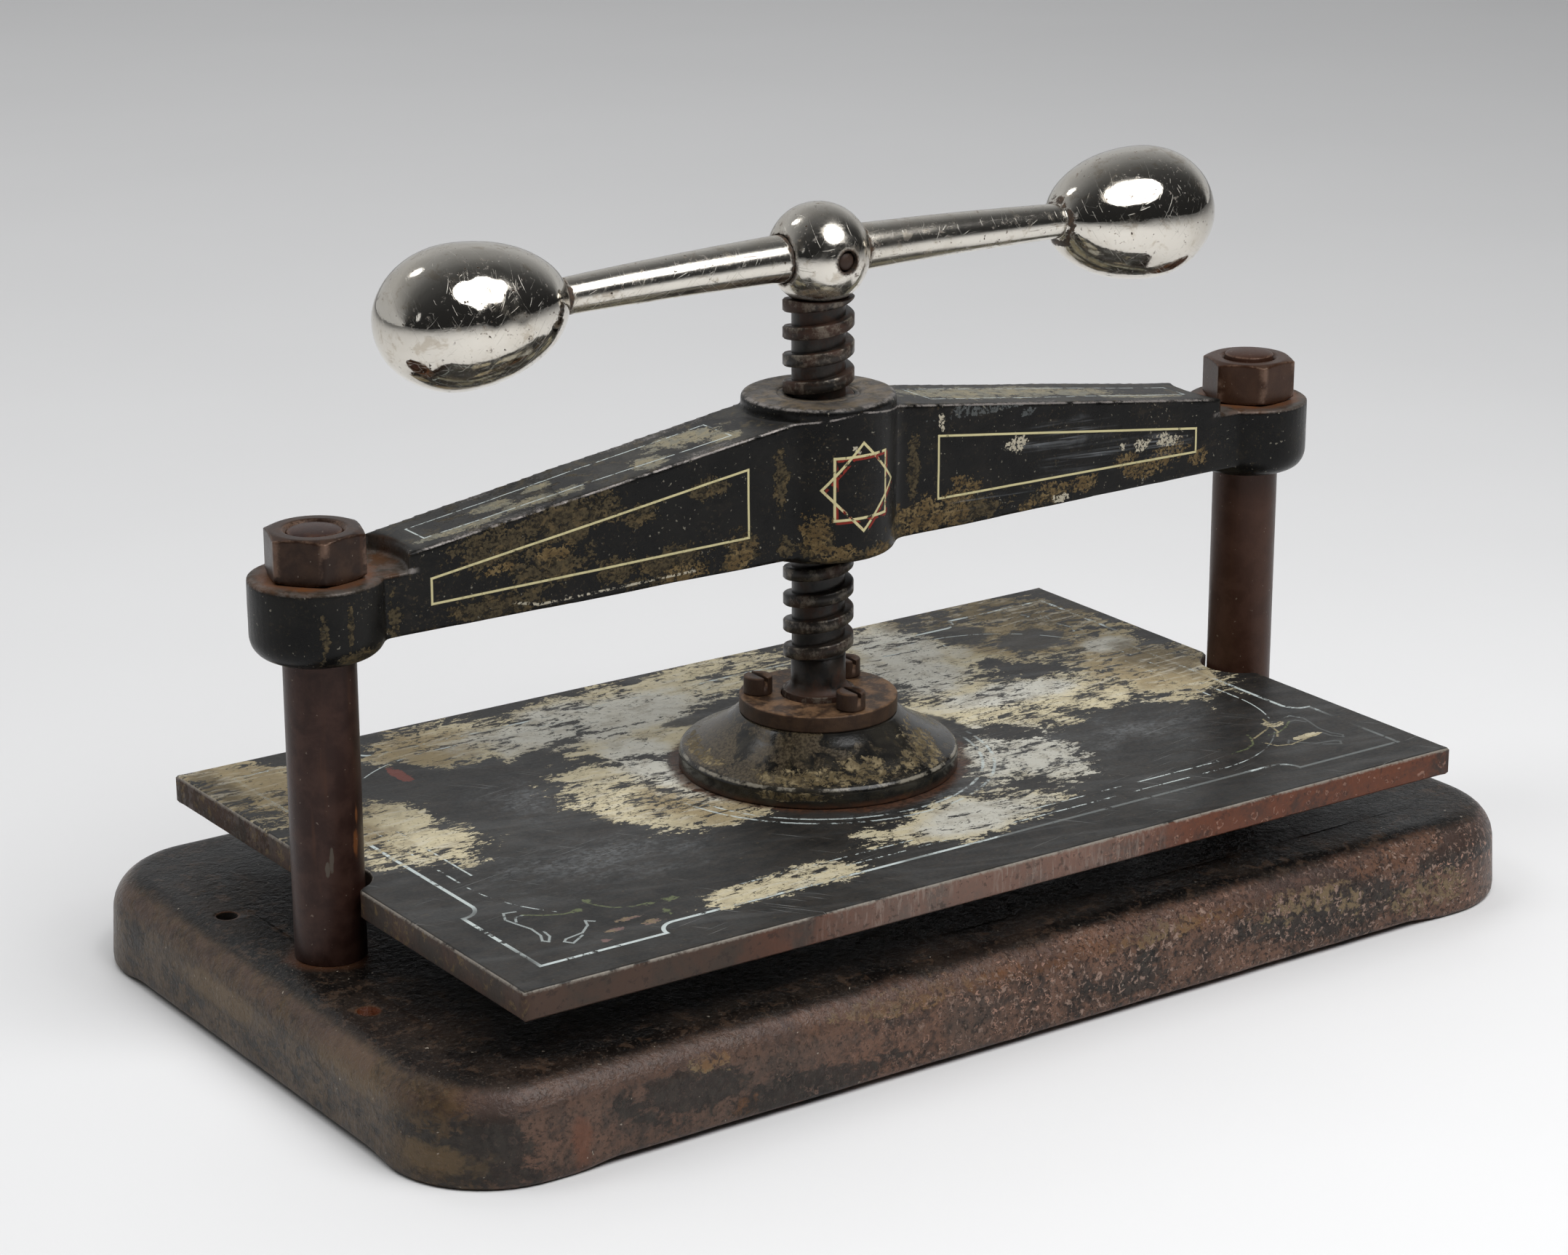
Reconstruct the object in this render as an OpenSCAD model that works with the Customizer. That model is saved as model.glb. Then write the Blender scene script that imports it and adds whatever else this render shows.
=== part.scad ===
// Cast iron copying press: a screw through the bridge drives a flat platen down onto the bed of a hollow base.
// The origin is on the floor below the middle of the base. X runs along the length, Y to the back, Z up.
// All sizes are in millimetres.

/* [Base] */
// Distance between the axes of the two columns
column_span = 416; // [390:1:450]
// Length of the base beyond each column axis
base_end = 34; // [32:0.5:42]
// Width of the base, front to back
base_w = 276; // [262:1:310]
// Height of the bed above the floor
base_h = 35; // [33:0.5:42]
// Radius of the base's corners, seen from above
base_corner_r = 40; // [30:1:55]
// Radius of the rounded edge round the bed
base_edge_r = 14; // [8:0.5:15]
// How far the sides of the base lean in on their way up
base_draft = 1; // [0.5:0.1:1.5]
// Thickness of the side walls
base_wall = 8; // [6:0.5:10]
// Thickness of the bed
bed_t = 9; // [7:0.5:11]
// Radius inside the hollow, under the edge of the bed
hollow_edge_r = 6; // [3:0.5:8]
// Height of the four corner feet below the skirt
foot_h = 2; // [1:0.5:4]
// Length of each foot along the long side
foot_l = 57; // [45:1:70]
// Length of each foot along the short side
foot_w = 45; // [36:1:60]
// Run of the slope where a foot fades into the skirt
foot_slope = 10; // [4:1:16]
// Diameter of the four screw-down holes
hole_d = 8; // [5:0.5:9]
// Distance of the screw-down holes outside the column axes
hole_out = 14; // [10:0.5:16]
// Distance between the two screw-down holes of one end
hole_pitch = 103.6; // [90:0.1:130]
// Diameter of the bosses under the bed, round the columns
bed_boss_d = 48; // [42:1:56]
// Thickness of those bosses below the bed
bed_boss_t = 6; // [4:0.5:8]
// Thickness of the long rib under the bed
rib_t = 8; // [5:0.5:12]
// Gap between the rib and the floor
rib_lift = 6; // [3:0.5:12]

/* [Columns] */
// Diameter of the columns
column_d = 25.4; // [21:0.1:30]
// Length of the columns between the bed and the bridge
column_h = 110; // [100:1:140]
// Diameter of the threaded studs at both ends of a column
stud_d = 19; // [15:0.5:20]
// Width of the nuts across their flats
nut_af = 31.75; // [29:0.25:36]
// Height of the nuts
nut_h = 16.5; // [12:0.5:20]
// Chamfer round the top and bottom of the nuts
nut_chamfer = 1.6; // [0.5:0.1:3]
// Turn of the left upper nut
left_nut_turn = 12.4; // [0:0.1:60]
// Turn of the right upper nut
right_nut_turn = 8.8; // [0:0.1:60]
// Height of the left stud's domed end above its nut
left_stud_rise = 0.5; // [0:0.1:6]
// Height of the right stud's domed end above its nut
right_stud_rise = 2.5; // [0:0.1:6]
// Rise of the dome on a stud's end
stud_dome = 1.8; // [0.5:0.1:3]
// Length of the studs beyond the nuts under the base
lower_stud_end = 1; // [0:0.1:2]

/* [Bridge] */
// Diameter of the bosses on the columns
end_boss_d = 47; // [42:0.5:54]
// Height of those bosses, from underside to nut seat
end_boss_h = 28.2; // [24:0.1:34]
// Radius round the underside of those bosses
end_boss_edge_r = 8; // [3:0.5:10]
// Diameter of the spot face cut for the nuts
seat_d = 62.2; // [50:0.2:70]
// Height of the arms' underside above the end bosses' underside
arm_lift = 5.5; // [2:0.1:10]
// Height of an arm at the spot face
arm_end_h = 29.5; // [26:0.1:40]
// Height of an arm at the middle boss
arm_mid_h = 50.5; // [42:0.1:60]
// Width of an arm at the column
arm_end_w = 30; // [26:0.5:38]
// Width of an arm at the middle boss
arm_mid_w = 36; // [28:0.5:42]
// Distance from the middle at which the slope of the arms begins
arm_slope_x = 26; // [18:0.5:34]
// Diameter of the middle boss
boss_d = 57; // [50:0.5:70]
// Length of the middle boss below the arms
boss_drop = 2; // [0.5:0.1:6]
// Rise of the middle boss above the arms
boss_rise = 5.2; // [2:0.1:10]
// Radius of the fillets between the arms and the middle boss
boss_fillet_r = 9; // [4:0.5:14]
// Chamfer round the edges of the middle boss
boss_chamfer = 1.2; // [0.4:0.1:2]
// Chamfer at both ends of the nut thread
thread_chamfer = 3; // [0.5:0.1:4]

/* [Platen] */
// Width of the platen, front to back
platen_w = 250; // [220:1:260]
// Thickness of the platen
platen_t = 10.7; // [8:0.1:14]
// Distance of the platen's ends inside the column axes
platen_setback = 3.5; // [1:0.1:8]
// Gap between the platen and the bed as drawn
rest_gap = 17.3; // [5:0.1:30]
// Gap between a column and its notch in the platen
notch_gap = 2.2; // [1:0.1:5]
// Radius at the mouths of the notches
notch_mouth_r = 4; // [1:0.5:6]

/* [Screw socket] */
// Diameter of the socket's foot on the platen
socket_d = 104.6; // [98:0.2:120]
// Height of the upright lip round the foot
lip_h = 8; // [6:0.5:10]
// Width of the step on top of the lip
lip_step = 1.6; // [0.5:0.1:3]
// Height of the socket
socket_h = 21.3; // [18:0.1:26]
// Diameter of the socket's top
socket_top_d = 60; // [57:0.5:66]
// Radius of the hollow curve below the socket's top
socket_curve_r = 9; // [4:0.5:12]
// Thickness of the retaining plate
plate_t = 6.3; // [4:0.1:8]
// Distance of the plate's rim inside the socket's top
plate_inset = 0.4; // [0:0.1:2]
// Chamfer round the plate
plate_chamfer = 0.8; // [0.2:0.1:1.5]
// Diameter of the circle of retaining screws
screw_circle_d = 45; // [44:0.5:48]
// Angle of the first retaining screw from the X axis
screw_angle = 27; // [0:1:60]
// Diameter of the retaining screws' heads
head_d = 10.8; // [8:0.1:12]
// Height of the retaining screws' heads
head_h = 6.9; // [4:0.1:8]
// Width of the slots in the heads
slot_w = 1.4; // [0.8:0.1:2]
// Depth of the slots in the heads
slot_depth = 1.8; // [1:0.1:3]
// Diameter of the retaining screws' shanks
shank_d = 5.2; // [4:0.1:6]
// Depth of the retaining screws in the socket
shank_depth = 7; // [4:0.5:8]
// Diameter of the circle of screws that hold the socket to the platen
fixing_circle_d = 80; // [74:1:86]
// Diameter of those screws' shanks
fixing_d = 6; // [5:0.5:7]
// Diameter of those screws' countersunk heads
fixing_head_d = 12; // [10:0.5:14]
// Depth of those screws in the socket
fixing_depth = 6; // [4:0.5:7]

/* [Press screw] */
// Diameter over the thread's crests
screw_d = 26.2; // [25.4:0.1:28]
// Depth of the thread
thread_depth = 3.2; // [2.5:0.1:3.6]
// Pitch of the thread
pitch = 10.1; // [8:0.1:12]
// Width of the thread's ridge
ridge_w = 4.8; // [3.5:0.1:5]
// Height of the helix's start, which sets where the ridges show
thread_phase = 2.1; // [0:0.1:12]
// Height of the thread's lower end above the platen
thread_foot = 43; // [40:0.5:50]
// Diameter of the neck below the thread
neck_d = 20.4; // [20:0.1:22]
// Diameter of the collar in the retaining plate
collar_d = 27; // [25:0.5:28]
// Height of the collar above the retaining plate
collar_rise = 1.2; // [0.5:0.1:2]
// Radius of the hollow curve above the collar
collar_curve_r = 4.5; // [3:0.5:6]
// Diameter of the flange below the retaining plate
flange_d = 36; // [33:0.5:37]
// Thickness of the flange
flange_t = 7.5; // [5:0.5:9]
// Diameter of the screw's end in the hub
spigot_d = 16; // [12:0.5:18]

/* [Handle] */
// Height of the handle's middle above the platen
handle_h = 194.4; // [190:0.1:230]
// Diameter of the round hub
hub_d = 37.6; // [35:0.1:44]
// Depth of the flat under the hub
hub_flat = 3.2; // [2:0.1:4]
// Diameter of the bar in the hub
bar_mid_d = 17.3; // [14:0.1:18]
// Diameter of the bar at the balls
bar_end_d = 13.1; // [11:0.1:14]
// Distance from the screw's axis to the widest part of a ball
ball_reach = 150.5; // [130:0.5:180]
// Drop of the bar's ends below its middle
bar_bow = 3.5; // [0:0.1:8]
// Diameter of the balls
ball_d = 50.8; // [44:0.2:60]
// Length of a ball beyond its widest part
ball_outer = 30; // [26:0.5:36]
// Length of a ball's pointed side, to the point of its curve
ball_inner = 42.5; // [36:0.5:50]
// Depth of the bar's ends in the balls
ball_socket = 18; // [10:1:24]
// Diameter of the bar's ends in the balls
ball_spigot_d = 10; // [8:0.5:10.5]
// Diameter of the cross pin in the hub
pin_d = 7; // [5:0.1:8]
// Depth of the pin's ends below the hub's surface
pin_depth = 0.6; // [0:0.1:1.5]

/* [Clearances] */
// Gap round pieces that are fixed together
fit_gap = 0.1; // [0.05:0.05:0.3]
// Gap between pieces that turn or slide on each other
run_gap = 0.3; // [0.25:0.05:0.5]
// Extra gap at the crests and roots of the thread
thread_gap = 0.5; // [0.4:0.05:0.7]
// Gap on each flank of the thread
flank_gap = 0.35; // [0.25:0.05:0.5]

/* [Hidden] */
$fn = 96;

// Room by which cuts run past the faces they open
past = 1;
// Steps of one turn of the thread
helix_steps = 20;
// Sides of the handle bar, and rings along each of its arms
bar_sides = 28;
bar_rings = 12;
// Steps of the arcs in an outline seen from above
arc_steps = 10;
// Degrees between the points of a ball's outline
ball_step = 6;

column_x = column_span / 2;
base_l = column_span + 2 * base_end;
hole_x = column_x + hole_out;
stud_hole_d = stud_d + 2 * fit_gap;
bed_boss_z = base_h - bed_t - bed_boss_t;
lower_nut_z = bed_boss_z - nut_h;

bridge_z = base_h + column_h;
seat_z = bridge_z + end_boss_h;
top_nut_z = seat_z + nut_h;
arm_z = bridge_z + arm_lift;
arm_end_x = column_x - seat_d / 2;
arm_slope = (arm_mid_h - arm_end_h) / (arm_end_x - arm_slope_x);
boss_z = arm_z - boss_drop;
boss_top_z = arm_z + arm_mid_h + boss_rise;

platen_z = base_h + rest_gap;
platen_top_z = platen_z + platen_t;
platen_l = column_span - 2 * platen_setback;
notch_r = column_d / 2 + notch_gap;

plate_z = platen_top_z + socket_h;
plate_top_z = plate_z + plate_t;
flange_z = plate_z - run_gap - flange_t;
recess_z = flange_z - run_gap;

root_d = screw_d - 2 * thread_depth;
thread_z = platen_top_z + thread_foot;
hub_z = platen_top_z + handle_h;
thread_top_z = hub_z - hub_d / 2 + hub_flat;
collar_top_z = plate_top_z + collar_rise;
spigot_top_z = hub_z - bar_mid_d / 2 - run_gap;

bar_straight = hub_d / 2 + 1;
ball_neck = ball_inner * sqrt(1 - pow(bar_end_d / ball_d, 2));
neck_x = ball_reach - ball_neck;

// Points of an arc from angle a to angle b
function arc(centre, r, a, b) = [
    for (i = [0 : arc_steps])
        let (t = a + (b - a) * i / arc_steps)
            centre + r * [cos(t), sin(t)]
];

// The points of an outline mirrored front to back, in the order that goes on round it
function flipped(points) = [for (i = [len(points) - 1 : -1 : 0]) [points[i][0], -points[i][1]]];

// Half outline of a loaf with a rounded top edge, from the middle out to half_w
module loaf_half(half_w, height, edge_r, draft) {
    top_w = half_w - draft;
    polygon([[0, 0], [half_w, 0], [top_w, height - edge_r], [top_w - edge_r, height - edge_r],
             [top_w - edge_r, height], [0, height]]);
    translate([top_w - edge_r, height - edge_r]) circle(edge_r);
}

// Whole outline of the loaf
module loaf(half_w, height, edge_r, draft) {
    loaf_half(half_w, height, edge_r, draft);
    mirror([1, 0]) loaf_half(half_w, height, edge_r, draft);
}

// Block with rounded corners, leaning sides and a rounded top edge
module tray(length, width, corner_r, height, edge_r, draft) {
    straight_x = length - 2 * corner_r;
    straight_y = width - 2 * corner_r;
    rotate([90, 0, 90]) translate([0, 0, -straight_x / 2])
        linear_extrude(straight_x) loaf(width / 2, height, edge_r, draft);
    rotate([90, 0, 0]) translate([0, 0, -straight_y / 2])
        linear_extrude(straight_y) loaf(length / 2, height, edge_r, draft);
    for (side = [0, 1], end = [0, 1])
        mirror([end, 0, 0]) mirror([0, side, 0])
            translate([straight_x / 2, straight_y / 2, 0])
                rotate_extrude(angle = 90) loaf_half(corner_r, height, edge_r, draft);
}

// Opening between two feet, cut across the whole base
module foot_arch(half_l, width) {
    rotate([90, 0, 0]) translate([0, 0, -width / 2])
        linear_extrude(width)
            polygon([[-half_l - foot_slope / 2, -past], [-half_l - foot_slope / 2, 0],
                     [-half_l + foot_slope / 2, foot_h], [half_l - foot_slope / 2, foot_h],
                     [half_l + foot_slope / 2, 0], [half_l + foot_slope / 2, -past]]);
}

// Hexagon nut standing on z = 0, with a plain bore for its stud
module hex_nut() {
    corner_r = nut_af / sqrt(3);
    flat_r = nut_af / 2 - nut_chamfer / 2;
    difference() {
        intersection() {
            cylinder(r = corner_r, h = nut_h, $fn = 6);
            rotate_extrude()
                polygon([[0, 0], [flat_r, 0], [corner_r + past, nut_chamfer],
                         [corner_r + past, nut_h - nut_chamfer], [flat_r, nut_h], [0, nut_h]]);
        }
        translate([0, 0, -past]) cylinder(d = stud_hole_d, h = nut_h + 2 * past);
        translate([0, 0, nut_h - nut_chamfer])
            cylinder(d1 = stud_hole_d, d2 = stud_hole_d + 2 * (nut_chamfer + past), h = nut_chamfer + past);
    }
}

// Column with a shoulder and a threaded stud at each end
module column(stud_rise) {
    stud_end_z = top_nut_z + stud_rise;
    dome_r = (pow(stud_d / 2, 2) + pow(stud_dome, 2)) / (2 * stud_dome);
    translate([0, 0, base_h]) cylinder(d = column_d, h = column_h);
    translate([0, 0, lower_nut_z - lower_stud_end])
        cylinder(d = stud_d, h = base_h + past - lower_nut_z + lower_stud_end);
    intersection() {
        translate([0, 0, bridge_z - past]) cylinder(d = stud_d, h = stud_end_z + past - bridge_z);
        translate([0, 0, stud_end_z - dome_r]) sphere(dome_r, $fn = 128);
    }
    translate([0, 0, bridge_z - past]) cylinder(d = stud_d, h = seat_z + past - bridge_z);
}

// Square thread as one closed solid; turns counts whole turns above the helix's start
module helix(root_r, crest_r, ridge, turns) {
    rows = 4 * turns;
    last = helix_steps - 1;
    radii = [root_r, crest_r, crest_r, root_r];
    heights = [-ridge / 2, -ridge / 2, ridge / 2, ridge / 2];
    points = [
        for (i = [0 : last], k = [0 : rows - 1])
            let (a = 360 * i / helix_steps, j = k % 4, z = pitch * (floor(k / 4) + i / helix_steps))
                [radii[j] * cos(a), radii[j] * sin(a), z + heights[j]]
    ];
    low = len(points);
    high = low + 1;
    ends = [[0, 0, (pitch - ridge) / 2], [0, 0, pitch * (turns - 1.5 + last / helix_steps) + ridge / 2]];
    walls = [
        for (i = [0 : last - 1], k = [0 : rows - 2])
            let (a = i * rows + k, b = a + rows)
                each [[a, a + 1, b + 1], [a, b + 1, b]]
    ];
    seam = [
        for (k = [0 : rows - 6])
            let (a = last * rows + k, b = k + 4)
                each [[a, a + 1, b + 1], [a, b + 1, b]]
    ];
    foot = [
        for (i = [0 : last - 1]) [low, i * rows, (i + 1) * rows],
        [low, last * rows, 4],
        [low, 4, 3, 2, 1, 0]
    ];
    head = [
        for (i = [0 : last - 1]) [high, (i + 2) * rows - 1, (i + 1) * rows - 1],
        [high, rows - 1, (last + 1) * rows - 5],
        [high, for (k = [5 : -1 : 1]) (last + 1) * rows - k]
    ];
    polyhedron(concat(points, ends), concat(walls, seam, foot, head), convexity = 20);
}

// Slotted cheese-head screw with its head standing on z = 0
module cheese_screw() {
    difference() {
        union() {
            cylinder(d = head_d, h = head_h);
            translate([0, 0, -plate_t - shank_depth]) cylinder(d = shank_d, h = plate_t + shank_depth + past);
        }
        translate([-slot_w / 2, -head_d, head_h - slot_depth]) cube([slot_w, 2 * head_d, slot_depth + past]);
    }
}

// Places its child at one of the three retaining screws
module at_retaining_screw(index) {
    angle = screw_angle + 120 * index;
    translate([screw_circle_d / 2 * cos(angle), screw_circle_d / 2 * sin(angle), 0]) children();
}

// Places its child at each of the four screws that hold the socket
module at_fixing_screws() {
    for (angle = [45 : 90 : 315])
        rotate([0, 0, angle]) translate([fixing_circle_d / 2, 0, 0]) children();
}

// Countersunk screw from below, as a solid or, with a gap, as its hole
module countersunk(gap, depth) {
    head_r = fixing_head_d / 2;
    shank_r = fixing_d / 2;
    cylinder(r1 = head_r + gap, r2 = shank_r + gap, h = head_r - shank_r);
    cylinder(r = shank_r + gap, h = depth);
}

// Hollow base with rounded edges, four feet, column bosses and a long rib
module base() {
    hollow_l = base_l - 2 * base_wall;
    hollow_w = base_w - 2 * base_wall;
    hollow_h = base_h - bed_t;
    color("#4b423d")
        difference() {
            union() {
                difference() {
                    tray(base_l, base_w, base_corner_r, base_h, base_edge_r, base_draft);
                    translate([0, 0, -past])
                        tray(hollow_l, hollow_w, base_corner_r - base_wall, hollow_h + past,
                             hollow_edge_r, base_draft);
                }
                for (side = [-1, 1])
                    translate([side * column_x, 0, bed_boss_z])
                        cylinder(d = bed_boss_d, h = bed_boss_t + past);
                translate([-column_x + nut_af, -rib_t / 2, rib_lift])
                    cube([column_span - 2 * nut_af, rib_t, hollow_h - rib_lift + past]);
            }
            foot_arch(base_l / 2 - foot_l, base_w + 2 * past);
            rotate([0, 0, 90]) foot_arch(base_w / 2 - foot_w, base_l + 2 * past);
            for (side = [-1, 1]) {
                translate([side * column_x, 0, bed_boss_z - past])
                    cylinder(d = stud_hole_d, h = base_h - bed_boss_z + 2 * past);
                for (row = [-1, 1])
                    translate([side * hole_x, row * hole_pitch / 2, -past])
                        cylinder(d = hole_d, h = base_h + 2 * past);
            }
        }
}

module left_column() {
    color("#4a2f28") translate([-column_x, 0, 0]) column(left_stud_rise);
}

module right_column() {
    color("#4a2f28") translate([column_x, 0, 0]) column(right_stud_rise);
}

module left_top_nut() {
    color("#40302a") translate([-column_x, 0, seat_z]) rotate([0, 0, left_nut_turn]) hex_nut();
}

module right_top_nut() {
    color("#40302a") translate([column_x, 0, seat_z]) rotate([0, 0, right_nut_turn]) hex_nut();
}

module left_base_nut() {
    color("#40302a") translate([-column_x, 0, bed_boss_z]) mirror([0, 0, 1]) hex_nut();
}

module right_base_nut() {
    color("#40302a") translate([column_x, 0, bed_boss_z]) mirror([0, 0, 1]) hex_nut();
}

// Both arms from above, with a fillet at each side of the middle boss
module arm_plan() {
    boss_r = boss_d / 2;
    reach = boss_r + boss_fillet_r - fit_gap;
    fillet_y = arm_mid_w / 2 + boss_fillet_r;
    fillet_x = sqrt(pow(reach, 2) - pow(fillet_y, 2));
    lean = atan2(fillet_y, fillet_x);
    fillet = arc([fillet_x, fillet_y], boss_fillet_r, 270, 180 + lean);
    right = concat([[column_x, arm_end_w / 2]], fillet, [[0, boss_r / 2]]);
    left = [for (i = [len(right) - 2 : -1 : 0]) [-right[i][0], right[i][1]]];
    back = concat(right, left);
    polygon(concat(back, flipped(back)));
}

// Both arms from the front, deeper towards the middle
module arm_elevation() {
    tip_h = arm_end_h - arm_slope * (column_x - arm_end_x);
    polygon([[-column_x, 0], [column_x, 0], [column_x, tip_h], [arm_slope_x, arm_mid_h],
             [-arm_slope_x, arm_mid_h], [-column_x, tip_h]]);
}

// Outline of an end boss, rounded round its underside
module end_boss_outline() {
    boss_r = end_boss_d / 2;
    polygon([[0, 0], [boss_r - end_boss_edge_r, 0], [boss_r - end_boss_edge_r, end_boss_edge_r],
             [boss_r, end_boss_edge_r], [boss_r, end_boss_h], [0, end_boss_h]]);
    intersection() {
        translate([boss_r - end_boss_edge_r, end_boss_edge_r]) circle(end_boss_edge_r);
        square([boss_r, end_boss_h]);
    }
}

// Outline of the middle boss with its chamfered edges
module middle_boss_outline() {
    boss_r = boss_d / 2;
    height = boss_top_z - boss_z;
    polygon([[0, 0], [boss_r - boss_chamfer, 0], [boss_r, boss_chamfer], [boss_r, height - boss_chamfer],
             [boss_r - boss_chamfer, height], [0, height]]);
}

// Outline of the cut that chamfers one end of the nut thread, the same above and below the boss's face
module thread_mouth(crest_r) {
    wide_r = crest_r + thread_chamfer / 2;
    polygon([[0, -wide_r], [wide_r, 0], [0, wide_r]]);
}

// Bridge with two tapered arms, bosses on the columns and the nut thread in its middle boss
module bridge() {
    nut_root_r = root_d / 2 + thread_gap;
    nut_crest_r = screw_d / 2 + thread_gap;
    nut_turns = ceil((boss_top_z - boss_z) / pitch) + 4;
    nut_start = floor((boss_z - thread_phase) / pitch) - 1;
    color("#24211f")
        difference() {
            union() {
                intersection() {
                    translate([0, 0, arm_z]) linear_extrude(arm_mid_h) arm_plan();
                    translate([0, base_w / 2, arm_z]) rotate([90, 0, 0]) linear_extrude(base_w) arm_elevation();
                }
                translate([0, 0, boss_z]) rotate_extrude() middle_boss_outline();
                for (side = [-1, 1])
                    translate([side * column_x, 0, bridge_z]) rotate_extrude() end_boss_outline();
            }
            for (side = [-1, 1])
                translate([side * column_x, 0, bridge_z - past]) {
                    cylinder(d = stud_hole_d, h = end_boss_h + 2 * past);
                    translate([0, 0, end_boss_h + past]) cylinder(d = seat_d, h = arm_mid_h);
                }
            translate([0, 0, thread_phase + nut_start * pitch])
                helix(nut_root_r, nut_crest_r, ridge_w + 2 * flank_gap, nut_turns);
            for (lip_z = [boss_z, boss_top_z])
                translate([0, 0, lip_z]) rotate_extrude() thread_mouth(nut_crest_r);
        }
}

// Outline of a column notch with rounded mouths; its origin is the column axis and the platen lies towards -X
module notch_outline() {
    mouth_x = -platen_setback - notch_mouth_r;
    mouth_y = sqrt(pow(notch_r + notch_mouth_r, 2) - pow(mouth_x, 2));
    lean = atan2(mouth_y, -mouth_x);
    mouth = arc([mouth_x, mouth_y], notch_mouth_r, 0, -lean);
    hollow = arc([0, 0], notch_r, 180 - lean, 180);
    half = concat([[past, mouth_y]], mouth, hollow);
    polygon(concat(half, flipped(half)));
}

// Platen with a notch round each column
module platen() {
    color("#5a5650")
        difference() {
            translate([0, 0, platen_z])
                linear_extrude(platen_t)
                    difference() {
                        square([platen_l, platen_w], center = true);
                        for (end = [0, 1])
                            mirror([end, 0]) translate([column_x, 0]) notch_outline();
                    }
            translate([0, 0, platen_z]) at_fixing_screws() {
                countersunk(fit_gap, platen_t + past);
                translate([0, 0, -past]) cylinder(d = fixing_head_d + 2 * fit_gap, h = past);
            }
        }
}

// Bell-shaped socket that takes the screw's flange
module screw_socket() {
    foot_r = socket_d / 2;
    top_r = socket_top_d / 2;
    curve_x = top_r + socket_curve_r;
    cone_r = foot_r - lip_step;
    color("#3a332c")
        translate([0, 0, platen_top_z])
            difference() {
                rotate_extrude() {
                    difference() {
                        polygon([[0, 0], [foot_r, 0], [foot_r, lip_h], [cone_r, lip_h],
                                 [curve_x, socket_h - socket_curve_r / 2], [curve_x, socket_h], [0, socket_h]]);
                        intersection() {
                            translate([curve_x, socket_h]) circle(socket_curve_r);
                            translate([top_r, socket_h - socket_curve_r / 2])
                                square([socket_curve_r + past, socket_curve_r]);
                        }
                    }
                }
                translate([0, 0, recess_z - platen_top_z])
                    cylinder(d = flange_d + 2 * run_gap, h = socket_h);
                for (index = [0 : 2])
                    at_retaining_screw(index)
                        translate([0, 0, socket_h - shank_depth - fit_gap])
                            cylinder(d = shank_d + 2 * fit_gap, h = socket_h);
                at_fixing_screws()
                    translate([0, 0, -past])
                        cylinder(d = fixing_d + 2 * fit_gap, h = fixing_depth + fit_gap + past);
            }
}

// Round plate that keeps the screw's flange in the socket
module retaining_plate() {
    plate_r = socket_top_d / 2 - plate_inset;
    bore_r = collar_d / 2 + run_gap;
    color("#4f3b2c")
        translate([0, 0, plate_z])
            difference() {
                rotate_extrude()
                    polygon([[bore_r, 0], [plate_r, 0], [plate_r, plate_t - plate_chamfer],
                             [plate_r - plate_chamfer, plate_t], [bore_r, plate_t]]);
                for (index = [0 : 2])
                    at_retaining_screw(index)
                        translate([0, 0, -past]) cylinder(d = shank_d + 2 * fit_gap, h = plate_t + 2 * past);
            }
}

module right_retaining_screw() {
    color("#4a3527") translate([0, 0, plate_top_z]) at_retaining_screw(0) cheese_screw();
}

module left_retaining_screw() {
    color("#4a3527") translate([0, 0, plate_top_z]) at_retaining_screw(1) cheese_screw();
}

module front_retaining_screw() {
    color("#4a3527") translate([0, 0, plate_top_z]) at_retaining_screw(2) cheese_screw();
}

// Four countersunk screws up through the platen into the socket
module socket_screws() {
    color("#3f3a36")
        translate([0, 0, platen_z]) at_fixing_screws() countersunk(0, platen_t + fixing_depth);
}

// Outline of the screw's foot: flange, collar, hollow curve and neck
module screw_foot_outline() {
    neck_r = neck_d / 2;
    collar_r = collar_d / 2;
    neck_top_z = thread_z + neck_d / 2 - root_d / 2;
    curve_z = collar_top_z + collar_curve_r;
    curve_x = neck_r + collar_curve_r;
    polygon([[0, flange_z], [flange_d / 2, flange_z], [flange_d / 2, flange_z + flange_t],
             [collar_r, flange_z + flange_t], [collar_r, collar_top_z], [neck_r, collar_top_z],
             [neck_r, neck_top_z], [0, neck_top_z]]);
    difference() {
        translate([0, collar_top_z - past]) square([collar_r, collar_curve_r + past]);
        translate([curve_x, curve_z]) circle(collar_curve_r);
    }
}

// Press screw: flanged foot, square right-hand thread and the end that enters the hub
module press_screw() {
    core_d = root_d - 2;
    start = floor((thread_z - thread_phase) / pitch) - 2;
    turns = ceil((thread_top_z - thread_z) / pitch) + 5;
    color("#3b2f28") {
        rotate_extrude() screw_foot_outline();
        translate([0, 0, collar_top_z]) cylinder(d = core_d, h = thread_z + pitch - collar_top_z);
        intersection() {
            translate([0, 0, thread_phase + start * pitch]) helix(root_d / 2, screw_d / 2, ridge_w, turns);
            translate([-screw_d, -screw_d, thread_z]) cube([2 * screw_d, 2 * screw_d, thread_top_z - thread_z]);
        }
        translate([0, 0, thread_top_z - pitch]) cylinder(d = spigot_d, h = spigot_top_z - thread_top_z + pitch);
    }
}

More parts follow.
